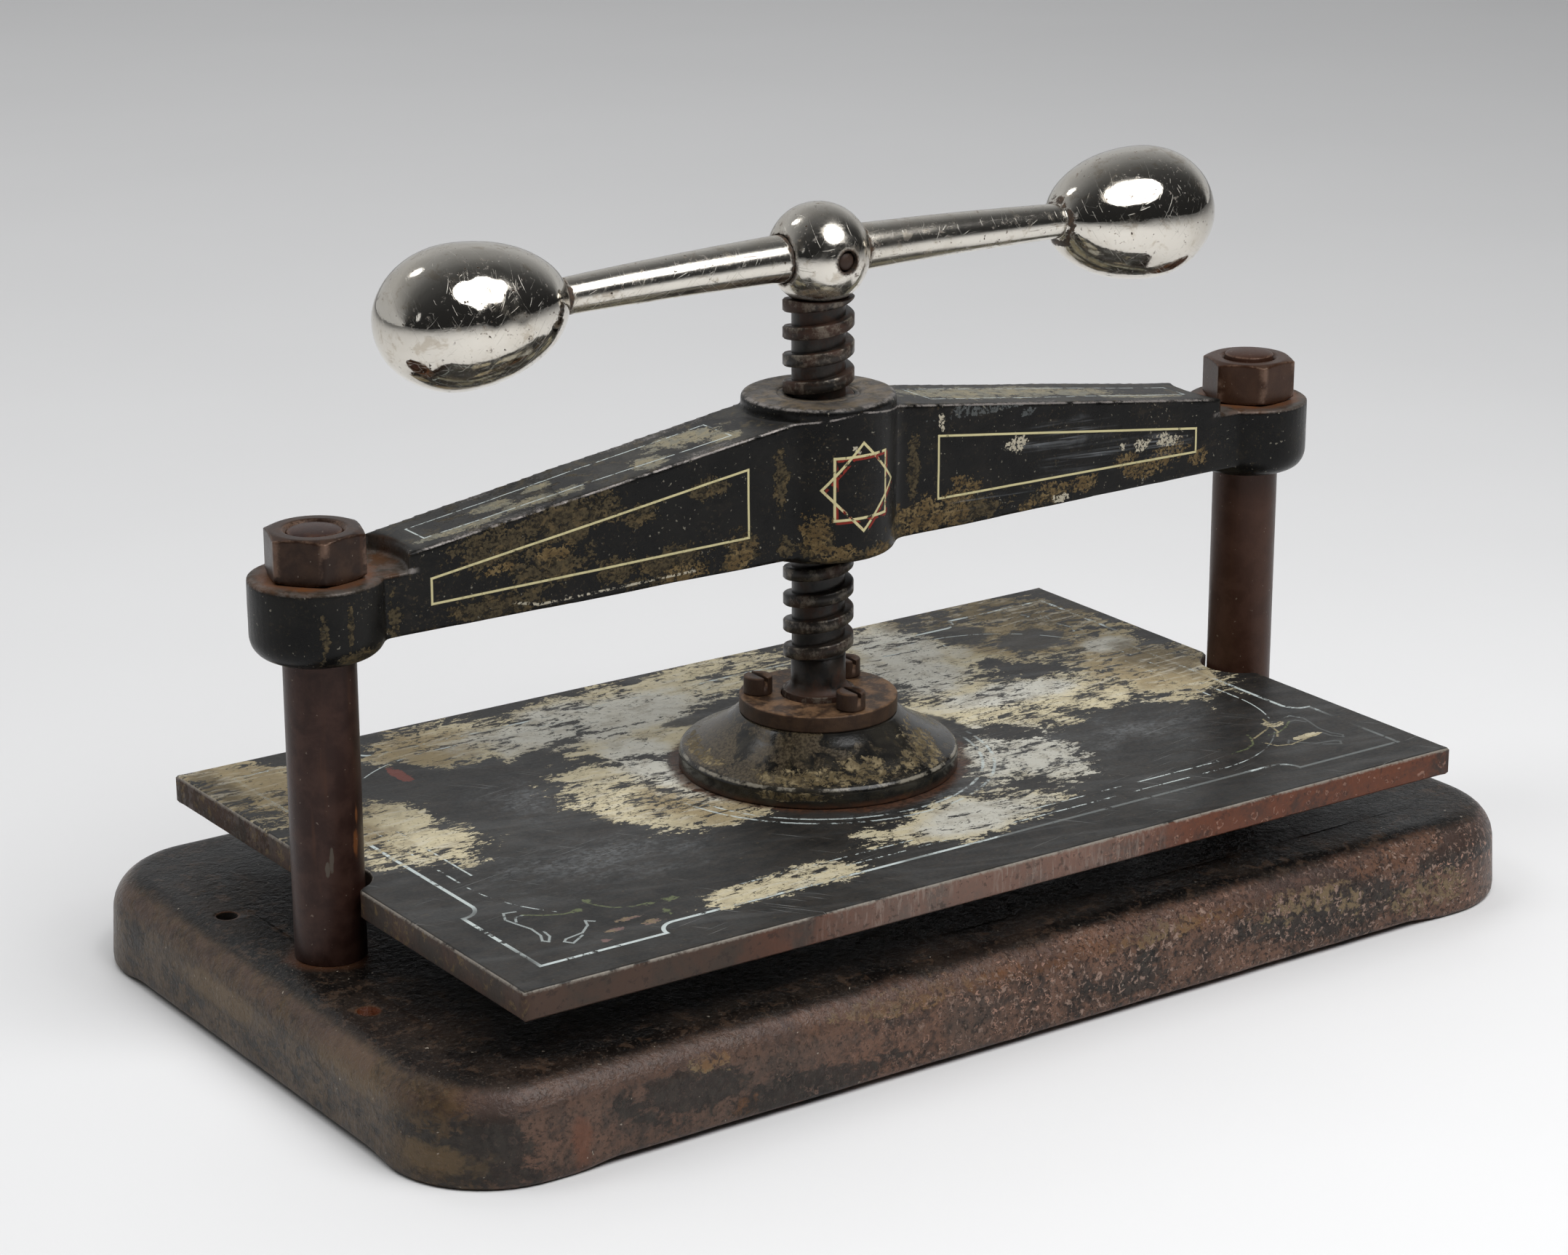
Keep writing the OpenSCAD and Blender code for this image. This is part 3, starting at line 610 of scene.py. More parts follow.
# Worn places of the platen's top
PLATEN_WORN = [
    (-187, 85, 26, 46), (-168, 19, 24, 36), (-95, 98, 48, 25), (-30, 97, 52, 26), (36, 104, 50, 24),
    (-70, 5, 27, 46), (-38, 58, 36, 20), (100, 85, 34, 46), (98, 22, 36, 42), (132, 10, 32, 28),
    (172, 15, 34, 44), (165, 82, 46, 48), (6, -80, 42, 20), (-80, -94, 34, 10), (63, -38, 24, 30),
    (168, -67, 5, 3.4), (169, -84, 7, 2.4), (-30, 56, 40, 14),
]
PLATEN_OCHRE = [
    (-187, 85, 34, 56), (-182, 36, 18, 24), (-64, -10, 20, 34), (172, 15, 38, 44), (168, 82, 50, 56),
    (-116, 100, 30, 30),
]
PLATEN_KEPT = [(137, 92, 15, 16), (158, 70, 18, 15), (206, 104, 11, 32), (62, 4, 8, 20), (-10, 66, 20, 6)]
PLATEN_BROWN = [(180, 100, 30, 34), (-198, 100, 10, 24), (150, 114, 40, 16), (186, 22, 18, 30)]
PLATEN_WHITE = [
    (104, 94, 24, 34), (88, 60, 30, 28), (108, 22, 40, 14), (179, 47, 13, 10), (-40, 88, 60, 26),
    (66, -36, 34, 40), (-52, 30, 20, 40), (14, -80, 34, 18),
]
PLATEN_HAZE = [
    (-112, 28, 24, 36), (-120, -40, 70, 34), (60, -46, 60, 36), (120, -40, 60, 30), (20, -55, 70, 14),
]
LINES_FADED = [(182, -96, 56, 40), (66, -101, 74, 7)]
LINES_RUBBED_OUT = [(-128, -84, 38, 26)]
RED_MARKS = [(-136, 77, 3, 9)]

# Painted scrolls in the platen's corners, and the fine sprig in its front right one
SCROLLS = [
    [(170.9, 63.7), (175.0, 62.8), (177.5, 68.1), (176.4, 72.8), (174.4, 80.0), (174.8, 86.6), (176.8, 91.0),
     (175.4, 92.9), (172.7, 89.0), (172.1, 84.5)],
    [(170.6, 67.9), (173.4, 67.9), (175.3, 71.6)],
    [(153.4, 86.2), (155.7, 84.1), (157.2, 88.0), (162.0, 92.5), (169.5, 94.1), (171.2, 95.8), (169.3, 98.5),
     (163.3, 94.5)],
]
VINES = [
    [(146.8, 70.4), (145.1, 74.6), (141.6, 79.6), (136.0, 82.3), (128.0, 83.0)],
    [(170.4, 67.6), (165.0, 71.8), (158.3, 74.9), (153.3, 74.9)],
]
SPRIG = [
    [(150.5, -80.5), (152.5, -86.0), (158.0, -88.0), (166.2, -86.4), (174.0, -84.7)],
    [(168.5, -59.2), (166.3, -66.4), (161.0, -70.0), (148.8, -75.7)],
    [(159.7, -78.0), (163.5, -74.0), (165.5, -67.5), (172.0, -66.0)],
]
SCROLL_LINE = 0.9
FLOWERS = [(-143, -91, 5, 1.6), (-151.7, -96.7, 4, 1.5), (-159.4, -103, 2.6, 1.6), (-137.8, -97.6, 4, 2)]
LEAVES = [
    (-129, -83.4, 3, 1.8), (-121.5, -84, 4, 2.2), (-128.2, -92.4, 1.6, 4), (-145.6, -69.2, 2, 2),
    (-153, -75, 2.4, 2),
]


def platen_border(f, ax, ay):
    """Masks of the platen's thick border and of its thin inner lines, in one folded quarter."""
    thick, thin = 1.5, 0.8
    border = strongest(
        f.stroke(ax, ay, (180.5, -1), (180.5, 51), thick), f.bow(ax, ay, (188.5, 51), 8, thick, -1, 1),
        f.stroke(ax, ay, (188.5, 59), (188.5, 109), thick), f.stroke(ax, ay, (188.5, 109), (139, 109), thick),
        f.bow(ax, ay, (131.5, 109), 7.5, thick, 1, -1), f.stroke(ax, ay, (131.5, 101.5), (-5, 101.5), thick))
    inner = strongest(
        f.stroke(ax, ay, (173, -1), (173, 33.5), thin), f.bow(ax, ay, (113, 33.5), 60, thin * 0.7, 1, 1),
        f.stroke(ax, ay, (113, 93.5), (-5, 93.5), thin), f.stroke(ax, ay, (166, -1), (166, 26), thin),
        f.stroke(ax, ay, (118, 86.5), (-5, 86.5), thin), f.stroke(ax, ay, (118, 86.5), (118, 80), thin))
    return border, inner


def platen_finish():
    """Slate paint with pale line borders, worn through to cream and ochre ground."""
    f = Finish("platen_paint")
    lumps = f.noise(26, 5, 0.62, 0.4)
    chips = f.grain((11, 4.6, 8), 7, 0.76, 0.2)
    crumbs = f.grain((2.0, 1.3, 2.0), 3, 0.6, 0.0, (7, 3, 1))
    fine = f.noise(1.4, 3, 0.6)
    broad = f.noise(70, 3)
    gaps = f.noise(8, 5, 0.72, 0.0, 11.0)
    side = f.ramp(f.nz, 0.6, 0.35)

    # Ground that shows where the slate paint has gone
    ragged = lumps.swing(1.9) + chips.swing(1.8) + crumbs.swing(0.7)
    busy = f.ramp(f.noise(48, 3, 0.5, 0.0, 6.0), 0.40, 0.58)
    sparse = f.noise(17, 4, 0.65, 0.5, 14.0) - 0.5
    islands = f.grain((12, 4.2, 5), 7, 0.78, 0.7, (3, 9, 2)) + busy * 0.06 + sparse * 0.45
    specks = f.grain((1.6, 1.0, 1.2), 4, 0.65, 0.3, (5, 2, 1)) + busy * 0.05 + sparse * 0.2
    left_on = strongest(f.ramp(islands, 0.585, 0.61), f.ramp(specks, 0.62, 0.66) * 0.9,
                        f.patches(TOP, PLATEN_KEPT, ragged * 0.6, 0.0, 0.30) * 0.94)
    ground = f.patches(TOP, PLATEN_WORN, ragged, 0.04, 0.09) * (1 - left_on)
    tint = lumps.swing(1.6) + chips.swing(0.8)
    ochre = f.patches(TOP, PLATEN_OCHRE, tint, -0.1, 0.6)
    paint = f.coats(
        CREAM,
        (ochre, OCHRE),
        (f.patches(TOP, PLATEN_WHITE, tint, -0.1, 0.5), WHITE),
        (f.patches(TOP, PLATEN_BROWN, tint, -0.1, 0.5) * 0.85, GROUND_BROWN),
        (f.ramp(f.noise(10, 5, 0.70, 0.0, 21.0), 0.44, 0.66) * 0.45, GROUND_DIRTY),
        (f.ramp(f.grain((14, 3, 8), 4, 0.6, 0.3, (8, 1, 3)), 0.50, 0.66) * 0.4, GROUND_BLEACHED))

    # Slate paint with wiped and hazy places
    wipes = f.ramp(f.grain((90, 16, 30), 3, 0.5, 1.4, turn=(0, 0, -14)), 0.46, 0.72)
    smears = f.grain((20, 9, 12), 5, 0.72, 0.5, (4, 2, 1)).swing(2.6)
    haze = f.patches(TOP, PLATEN_HAZE, smears, 0.2, 1.2)
    slate = f.coats(
        SLATE,
        (f.ramp(lumps, 0.35, 0.7), SLATE_PALE),
        (f.ramp(chips, 0.42, 0.62) * 0.6, SLATE_BROWN),
        (f.ramp(f.noise(5, 5, 0.72, 0.6, 18.0), 0.52, 0.66) * 0.5, SLATE_DEEP),
        (wipes * 0.08, WIPE),
        (haze * f.ramp(crumbs, 0.34, 0.66) * 0.5, WIPE),
        (f.ramp(f.noise(2.2, 4, 0.7, 0.0, 15.0), 0.62, 0.70) * 0.35, SLATE_FLECK))

    # Painted lines; the right half's lie nearer to their end
    ax, ay = abs(f.x - 2.25) - 2.25, abs(f.y)
    border, inner = platen_border(f, ax, ay)
    kept = f.ramp(gaps, 0.37, 0.43) * f.ramp(f.noise(44, 2, 0.5, 0.0, 2.0), 0.30, 0.40)
    rubbed_out = f.patches(TOP, LINES_RUBBED_OUT, chips.swing(1.5), 0.0, 0.2)
    faded = f.patches(TOP, LINES_FADED, chips.swing(2.0), 0.0, 0.2)
    scrolls = f.trails(ax, ay, SCROLLS, SCROLL_LINE) * f.ramp(gaps, 0.36, 0.46)
    lines = strongest(border * kept, inner * f.ramp(gaps, 0.46, 0.52) * (1 - rubbed_out), scrolls * 0.55)
    lines = lines * (1 - ground * 0.92) * (1 - faded * 0.8)
    leaves = f.patches(TOP, LEAVES, crumbs.swing(3.0), 0.2, 0.5)
    vines = f.trails(ax, ay, VINES, SCROLL_LINE) * f.ramp(f.y, 0, -10) * f.ramp(crumbs, 0.40, 0.52)
    flowers = f.patches(TOP, FLOWERS, crumbs.swing(3.0), 0.1, 0.4)
    sprig = f.trails(f.x, f.y, SPRIG, SCROLL_LINE) * f.ramp(crumbs, 0.38, 0.52)

    # Scratches, the ring that the socket has swept, and rust round its foot
    scratch_a = f.ramp(f.grain((0.7, 26, 26), 2, 0.4, 0.0, turn=(0, 0, 38)), 0.70, 0.74)
    scratch_b = f.ramp(f.grain((40, 0.6, 40), 2, 0.4, 0.0, (3, 1, 0), (0, 0, 11)), 0.71, 0.75)
    scratches = scratch_a.at_least(scratch_b) * f.ramp(broad, 0.47, 0.60)
    from_screw = f.length(f.x, f.y)
    swept = f.ramp(abs(abs(from_screw - 64) - 2.2) + (fine - 0.5), 0.75, 0.35) * f.ramp(gaps, 0.45, 0.52)
    swept = swept * f.ramp(f.y, 0, -25)
    stain = f.ramp(from_screw + lumps.swing(14) + fine.swing(3), 58.5, 54.0)
    top = f.coats(
        f.mix(ground, slate, paint),
        (lines.at_least(swept * 0.8), LINE_PALE),
        (vines.at_least(leaves) * (1 - ground) * 0.6, VINE_GREEN),
        (flowers * (1 - ground) * 0.6, f.mix(f.ramp(chips, 0.45, 0.55), FLOWER_TAN, FLOWER_PINK)),
        (sprig * 0.8, SPRIG_TAN),
        (scratches * 0.4, SCRATCH_PALE),
        (f.patches(TOP, RED_MARKS, crumbs.swing(1.5), 0.0, 0.1) * 0.8, RED_MARK),
        (stain * 0.8, f.mix(f.ramp(crumbs, 0.4, 0.6), DARK_RUST_AND_SHADE, RUST)))

    # Edges, scraped pale in the middle of the front and blistered to the right
    rims = f.blisters(5.2, 0.34).at_least(f.blisters(3.0, 0.30, 6.0) * 0.8)
    rims = rims * f.ramp(f.x + lumps.swing(260), -40, 70) * side
    earthy = f.ramp(f.noise(6, 5, 0.7, 0.5, 8.0), 0.54, 0.64) * f.ramp(f.nx, -0.3, -0.6)
    scraped = f.ramp(f.grain((1.4, 1.4, 9), 4, 0.7, 0.2, (6, 2, 1)), 0.50, 0.62) * f.ramp(broad, 0.38, 0.54)
    scraped = (0.35 + scraped * 0.6) * f.ramp(f.x, 85, 25) * f.ramp(f.x, -110, -45)
    edge = f.coats(
        EDGE_RED,
        (f.ramp(lumps, 0.44, 0.66), EDGE_BROWN),
        (f.ramp(f.x + broad.swing(160), 0, -140) * 0.72, EDGE_GREY),
        (earthy * 0.6, EDGE_EARTH),
        (f.ramp(crumbs, 0.46, 0.64) * f.ramp(f.x, -160, 20) * 0.5, EDGE_BRICK),
        (scraped, EDGE_SCRAPED),
        (f.ramp(f.noise(3.0, 4, 0.7, 0.3, 35.0), 0.56, 0.64) * 0.55, EDGE_DARK),
        (rims * 0.45, PINK))
    # Worn arris along the top edge, painted pale as a highlight too
    arris = f.ramp(f.z + fine.swing(1.6), PLATEN_TOP_Z - 1.5, PLATEN_TOP_Z - 0.4) * f.ramp(f.nz, 0.97, 0.80)
    arris = arris * f.ramp(f.noise(9, 4, 0.7, 0.0, 27.0), 0.36, 0.50)
    colour = f.coats(top, (side, edge), (arris * 0.8, ARRIS_WORN_AND_HIGHLIT))
    height = ground * -0.5 + fine * 0.25 + scratches * -0.3 + lines * 0.2 + rims * 0.9 + lumps * side * 0.8
    return f.surface(
        base_color=colour, roughness=0.42 + ground * 0.22 + fine.swing(0.22) + side * 0.10 - wipes * 0.06,
        normal=f.bump(height, 0.22), specular_ior_level=0.26)


# Colours of the base: its sides, its left end, its bed and its holes
BASE_RED = (0.142, 0.076, 0.050)
BASE_UMBER = (0.029, 0.020, 0.016)
BASE_DUN = (0.076, 0.056, 0.045)
BASE_SPECK = (0.014, 0.011, 0.009)
# Purple-brown painted sheen for the rounded top edge
EDGE_SHEEN_PURPLE = (0.095, 0.060, 0.050)
STAIN_BLACK = (0.014, 0.013, 0.012)
STAIN_GREY = (0.034, 0.029, 0.024)
TAN = (0.21, 0.15, 0.080)
ORANGE = (0.17, 0.072, 0.026)
RED_RUN = (0.15, 0.062, 0.036)
FLAKE = (0.31, 0.215, 0.17)
POCK = (0.010, 0.008, 0.007)
FLECK_PALE = (0.42, 0.37, 0.30)
END_OLIVE = (0.076, 0.049, 0.025)
END_DARK = (0.030, 0.020, 0.0120)
END_PEELED = (0.017, 0.013, 0.010)
END_FLECK = (0.125, 0.092, 0.055)
END_OCHRE = (0.135, 0.088, 0.042)
BED_BLACK = (0.0030, 0.0028, 0.0026)
BED_BROWN = (0.017, 0.0125, 0.0095)
BED_RUSTY = (0.030, 0.018, 0.013)
BED_CHIP = (0.078, 0.048, 0.031)
BED_SPECK = (0.068, 0.054, 0.043)
BED_SPOT = (0.0045, 0.0040, 0.0038)
# Near-black painted shade for the back holes' bores; rust for the front ones
HOLE_SHADE = (0.004, 0.003, 0.002)
HOLE_RUST = (0.062, 0.017, 0.006)

# Worn and stained places of the base's sides
BASE_STAINS = [
    (-150, 18, 27, 11), (-222, 14, 20, 16), (137, 19, 46, 13), (42, 12, 20, 8), (-100, 8, 40, 6),
    (205, 26, 26, 8),
]
BASE_TAN = [
    (124, 23, 28, 6), (144, 18, 10, 8), (-140, 26, 12, 4), (60, 27, 30, 4), (188, 12, 24, 8),
    (-60, 28, 40, 4),
]
BASE_ORANGE = [(-10, 28, 74, 5), (-138, 27, 10, 4), (-128, 8, 6, 4), (80, 27, 26, 5)]
BASE_RUNS = [(-191, 12, 5, 12)]
LEFT_OCHRE = [(-75, 26, 30, 8), (20, 20, 40, 6), (-118, 10, 18, 6)]


def base_finish():
    """Old dark paint over cast iron: charcoal bed, purple-brown painted sheen on the rounded edge, red-brown
    blistered sides.
    """
    f = Finish("base_paint")
    lumps = f.noise(20, 5, 0.62, 0.3)
    chips = f.grain((7, 7, 4), 5, 0.70, 0.4, (2, 1, 4))
    fine = f.noise(1.6, 3, 0.6)
    peel = f.noise(3.4, 4, 0.62, 0.3, 12.0)
    speck = f.noise(1.3, 3, 0.6, 0.0, 19.0)
    broad = f.noise(75, 3, 0.5, 0.4, 4.0)
    ragged = lumps.swing(1.8) + chips.swing(2.2)
    bed = f.ramp(f.z + lumps.swing(3), BASE_H - 3.5, BASE_H - 0.8)
    left = f.ramp(f.x + broad.swing(40), -212, -234)
    strewn = f.ramp(f.x + lumps.swing(160), -120, 30)

    # Sides, with the olive left end
    olive = f.coats(
        END_OLIVE,
        (f.ramp(chips, 0.38, 0.66), END_DARK),
        (f.ramp(peel, 0.52, 0.62) * 0.55, END_PEELED),
        (f.ramp(speck, 0.59, 0.67) * 0.4, END_FLECK))
    stains = f.patches(FRONT, BASE_STAINS, ragged, 0.0, 0.30)
    tan = f.patches(FRONT, BASE_TAN, ragged * 1.3, 0.16, 0.30) * f.ramp(peel, 0.44, 0.56)
    ochre = f.patches(SIDE, LEFT_OCHRE, ragged, 0.0, 0.5) * left
    orange = f.patches(FRONT, BASE_ORANGE, ragged * 1.2, 0.05, 0.45) * f.ramp(peel, 0.40, 0.60)
    runs = f.patches(FRONT, BASE_RUNS, ragged * 0.5, 0.0, 0.6) * f.ramp(f.ny, 0.2, -0.4)
    flakes = f.ramp(f.noise(2.6, 4, 0.7, 0.5, 23.0), 0.55, 0.61) * strewn
    pocks = f.ramp(f.noise(1.9, 3, 0.6, 0.0, 29.0), 0.58, 0.63) * (0.3 + strewn * 0.6)
    rims = f.blisters(3.8, 0.55, 3.0).at_least(f.blisters(2.2, 0.45, 9.0))
    rims = rims * (1 - bed) * (0.06 + strewn * f.ramp(broad, 0.34, 0.50))
    edge = f.ramp(f.z, BASE_H - 13, BASE_H - 5) * (1 - bed)
    side = f.coats(
        BASE_RED,
        (f.ramp(lumps * 0.5 + peel * 0.5, 0.42, 0.62), BASE_UMBER),
        (f.ramp(broad, 0.46, 0.62) * 0.5, BASE_DUN),
        (f.ramp(speck, 0.55, 0.63) * 0.6, BASE_SPECK),
        (left, olive),
        (stains * 0.85, f.mix(f.ramp(peel, 0.4, 0.65), STAIN_BLACK, STAIN_GREY)),
        (tan * 0.75 * (1 - left), TAN),
        (ochre * 0.7, END_OCHRE),
        (orange * 0.5 * (1 - left), ORANGE),
        (runs * 0.7, RED_RUN),
        (flakes * 0.85, FLAKE),
        (pocks * 0.8, POCK),
        (rims * 0.9, PINK),
        # Painted sheen: the rounded top edge tinted purple-brown
        (edge * f.ramp(lumps, 0.3, 0.6) * 0.55, EDGE_SHEEN_PURPLE))

    # Bed, rusty round the columns and the screw-down holes
    foot = f.length(abs(f.x) - COLUMN_X, f.y) + lumps.swing(12)
    from_hole = f.length(abs(f.x) - HOLE_X, abs(f.y) - HOLE_Y)
    top = f.coats(
        BED_BLACK,
        (f.ramp(lumps, 0.42, 0.62), BED_BROWN),
        (f.ramp(broad, 0.45, 0.7) * 0.4, BED_RUSTY),
        (f.ramp(chips, 0.54, 0.61) * 0.45, BED_CHIP),
        (f.ramp(speck, 0.57, 0.66) * 0.55, BED_SPECK),
        (f.ramp(f.noise(2.8, 4, 0.7, 0.4, 47.0), 0.54, 0.62) * 0.75, BED_SPOT),
        (f.ramp(foot, 19, 13) * 0.6, RUST),
        (f.ramp(from_hole + fine.swing(1.6), 5.0, 4.0) * 0.15, RUST_BRIGHT))
    bored = f.ramp(from_hole, HOLE_R + 0.6, HOLE_R + 0.3) * f.ramp(f.z, BASE_H + 0.1, BASE_H - 0.5)
    colour = f.coats(
        side,
        (bed, top),
        # The back holes' bores are painted near-black as shade, the front ones rust
        (bored, f.mix(f.ramp(f.y, -20, -30), HOLE_SHADE, HOLE_RUST)),
        (f.ramp(f.noise(2.0, 2, 0.4, 0.0, 41.0), 0.755, 0.775) * 0.6, FLECK_PALE))
    height = lumps * 0.8 + peel * 0.9 + speck * 0.35 + fine * 0.2 + rims * 0.9 - orange * 0.3 - stains * 0.25
    height = height - pocks * 0.6 + flakes * 0.6
    return f.surface(
        base_color=colour, roughness=0.40 + lumps.swing(0.35) + fine.swing(0.2) - edge * 0.10 - bed * 0.04,
        normal=f.bump(height, 0.48), specular_ior_level=0.27)


# Colours of the bridge: black japan, worn lower edges, arms' tops, painted lines and seats
JAPAN = (0.0060, 0.0058, 0.0055)
JAPAN_DEEP = (0.0038, 0.0037, 0.0036)
JAPAN_PALE = (0.0105, 0.0098, 0.0088)
JAPAN_BROWN = (0.030, 0.023, 0.015)
JAPAN_SPECK = (0.070, 0.052, 0.028)
DUST_SPECK = (0.26, 0.24, 0.19)
OLIVE = (0.072, 0.056, 0.031)
OLIVE_DARK = (0.028, 0.022, 0.014)
OLIVE_BRIGHT = (0.115, 0.082, 0.040)
GOLD_EARTH = (0.185, 0.132, 0.062)
GOLD_EARTH_DARK = (0.105, 0.070, 0.031)
WIPE_BLUE = (0.30, 0.32, 0.34)
SCUFF_BLUE = (0.15, 0.165, 0.165)
CHALK = (0.44, 0.40, 0.31)
ARM_GREY_DARK = (0.019, 0.0185, 0.018)
ARM_GREY = (0.042, 0.040, 0.036)
ARM_CHIP = (0.075, 0.060, 0.036)
ARM_RUBBED = (0.24, 0.21, 0.135)
ARM_RUBBED_GREY = (0.17, 0.165, 0.13)
LINE_CREAM = (0.58, 0.52, 0.29)
SHADE_RED = (0.20, 0.018, 0.011)
# Pale bare metal of rubbed edges, also standing in for the highlight along the arris
BARE_AND_HIGHLIGHT = (0.34, 0.31, 0.29)
SEAT_RUST = (0.080, 0.038, 0.018)
SEAT_BROWN = (0.046, 0.035, 0.026)
WASHER_RUST = (0.17, 0.062, 0.020)
RING_GREY = (0.055, 0.048, 0.040)
RING_TAN = (0.14, 0.105, 0.065)

# Panels painted on the arms' front and back, the ornament on the boss, and worn places of the bridge
LEFT_PANEL = [(-172.2, 169.2), (-172.2, 160.1), (-43.0, 162.1), (-43.0, 187.3)]
RIGHT_PANEL = [(41.7, 186.7), (41.7, 162.7), (168.2, 160.2), (168.2, 169.6)]
TOP_PANEL = [(169.5, 0), (169.5, 6.4), (44.5, 8.9), (44.5, 0)]
CHALK_LINE = [(-140, 155), (-130, 152.6), (-66, 153.7)]
SQUARES_Z, SQUARES_HALF, SQUARES_LINE, SQUARES_SHADE = 176.5, 11.6, 1.0, 0.9
COS_45 = 0.7071
BRIDGE_OLIVE = [
    (-146, 176, 20, 8), (-116, 182, 24, 8), (-126, 166, 18, 7), (-148, 155, 20, 5.5), (-76, 157, 17, 8),
    (-98, 160, 10, 5), (-47, 156, 8, 8), (-29, 180, 3, 10), (-27, 156, 4, 5), (-16, 157, 6, 7),
    (4, 150, 22, 3),
    (22, 154, 6, 6), (42, 157, 20, 8), (-203, 149, 10, 3), (-217, 158, 1.5, 9), (96, 155, 10, 5),
    (-187, 157, 3, 8), (60, 156, 18, 5), (-208, 160, 1.2, 8), (-60, 183, 8, 4), (-88, 178, 8, 5),
    (30, 175, 3, 14),
]
BRIDGE_EARTH = [
    (-47, 155, 6, 5), (-70, 154, 10, 3.5), (38, 157, 15, 8), (53, 164, 7, 6), (98, 156, 8, 5),
    (112, 157, 8, 4),
    (84, 152.5, 5, 2.5), (143, 158, 10, 4), (170, 158, 5, 4), (155, 164, 9, 5), (133, 163, 6, 3),
    (-17, 161, 5, 7), (-9, 153, 8, 3), (8, 151, 6, 2), (-124, 170, 8, 3), (-146, 168, 6, 3),
]
BRIDGE_CREAM = [
    (79, 177.5, 5, 3), (140.5, 167, 4, 2.4), (154, 167, 6, 2.6), (43, 191.5, 1.6, 5), (101, 153, 5, 2),
    (131, 168, 2, 2), (-3, 190.5, 2.0, 1.8),
]
BRIDGE_WIPED = [(114, 167, 34, 8), (62, 157, 28, 5), (100, 178, 34, 7), (150, 166, 20, 6)]
BRIDGE_SCUFFS = [(55, 194.5, 7, 1.8), (84, 189.5, 4, 2), (66, 193, 24, 1.2)]
ARM_TOP_WORN = [
    (-155, -9, 18, 3), (-128, -7, 11, 4), (-111, -8, 6, 5), (-79, -8, 8, 6), (-46, -8, 6, 5),
    (-56, 3, 16, 8),
    (-138, 1, 9, 4), (-117, 4, 6, 3), (60, 0, 22, 10), (92, 2, 24, 9), (122, 0, 18, 7), (148, -8, 20, 3),
]


def crossed_squares(f, u, v):
    """Painted outline of two crossed squares, one upright and one on its corner."""
    upright = abs(abs(u).at_least(abs(v)) - SQUARES_HALF)
    turned = abs((abs(u) + abs(v)) * COS_45 - SQUARES_HALF)
    return f.painted(upright.at_most(turned), SQUARES_LINE)


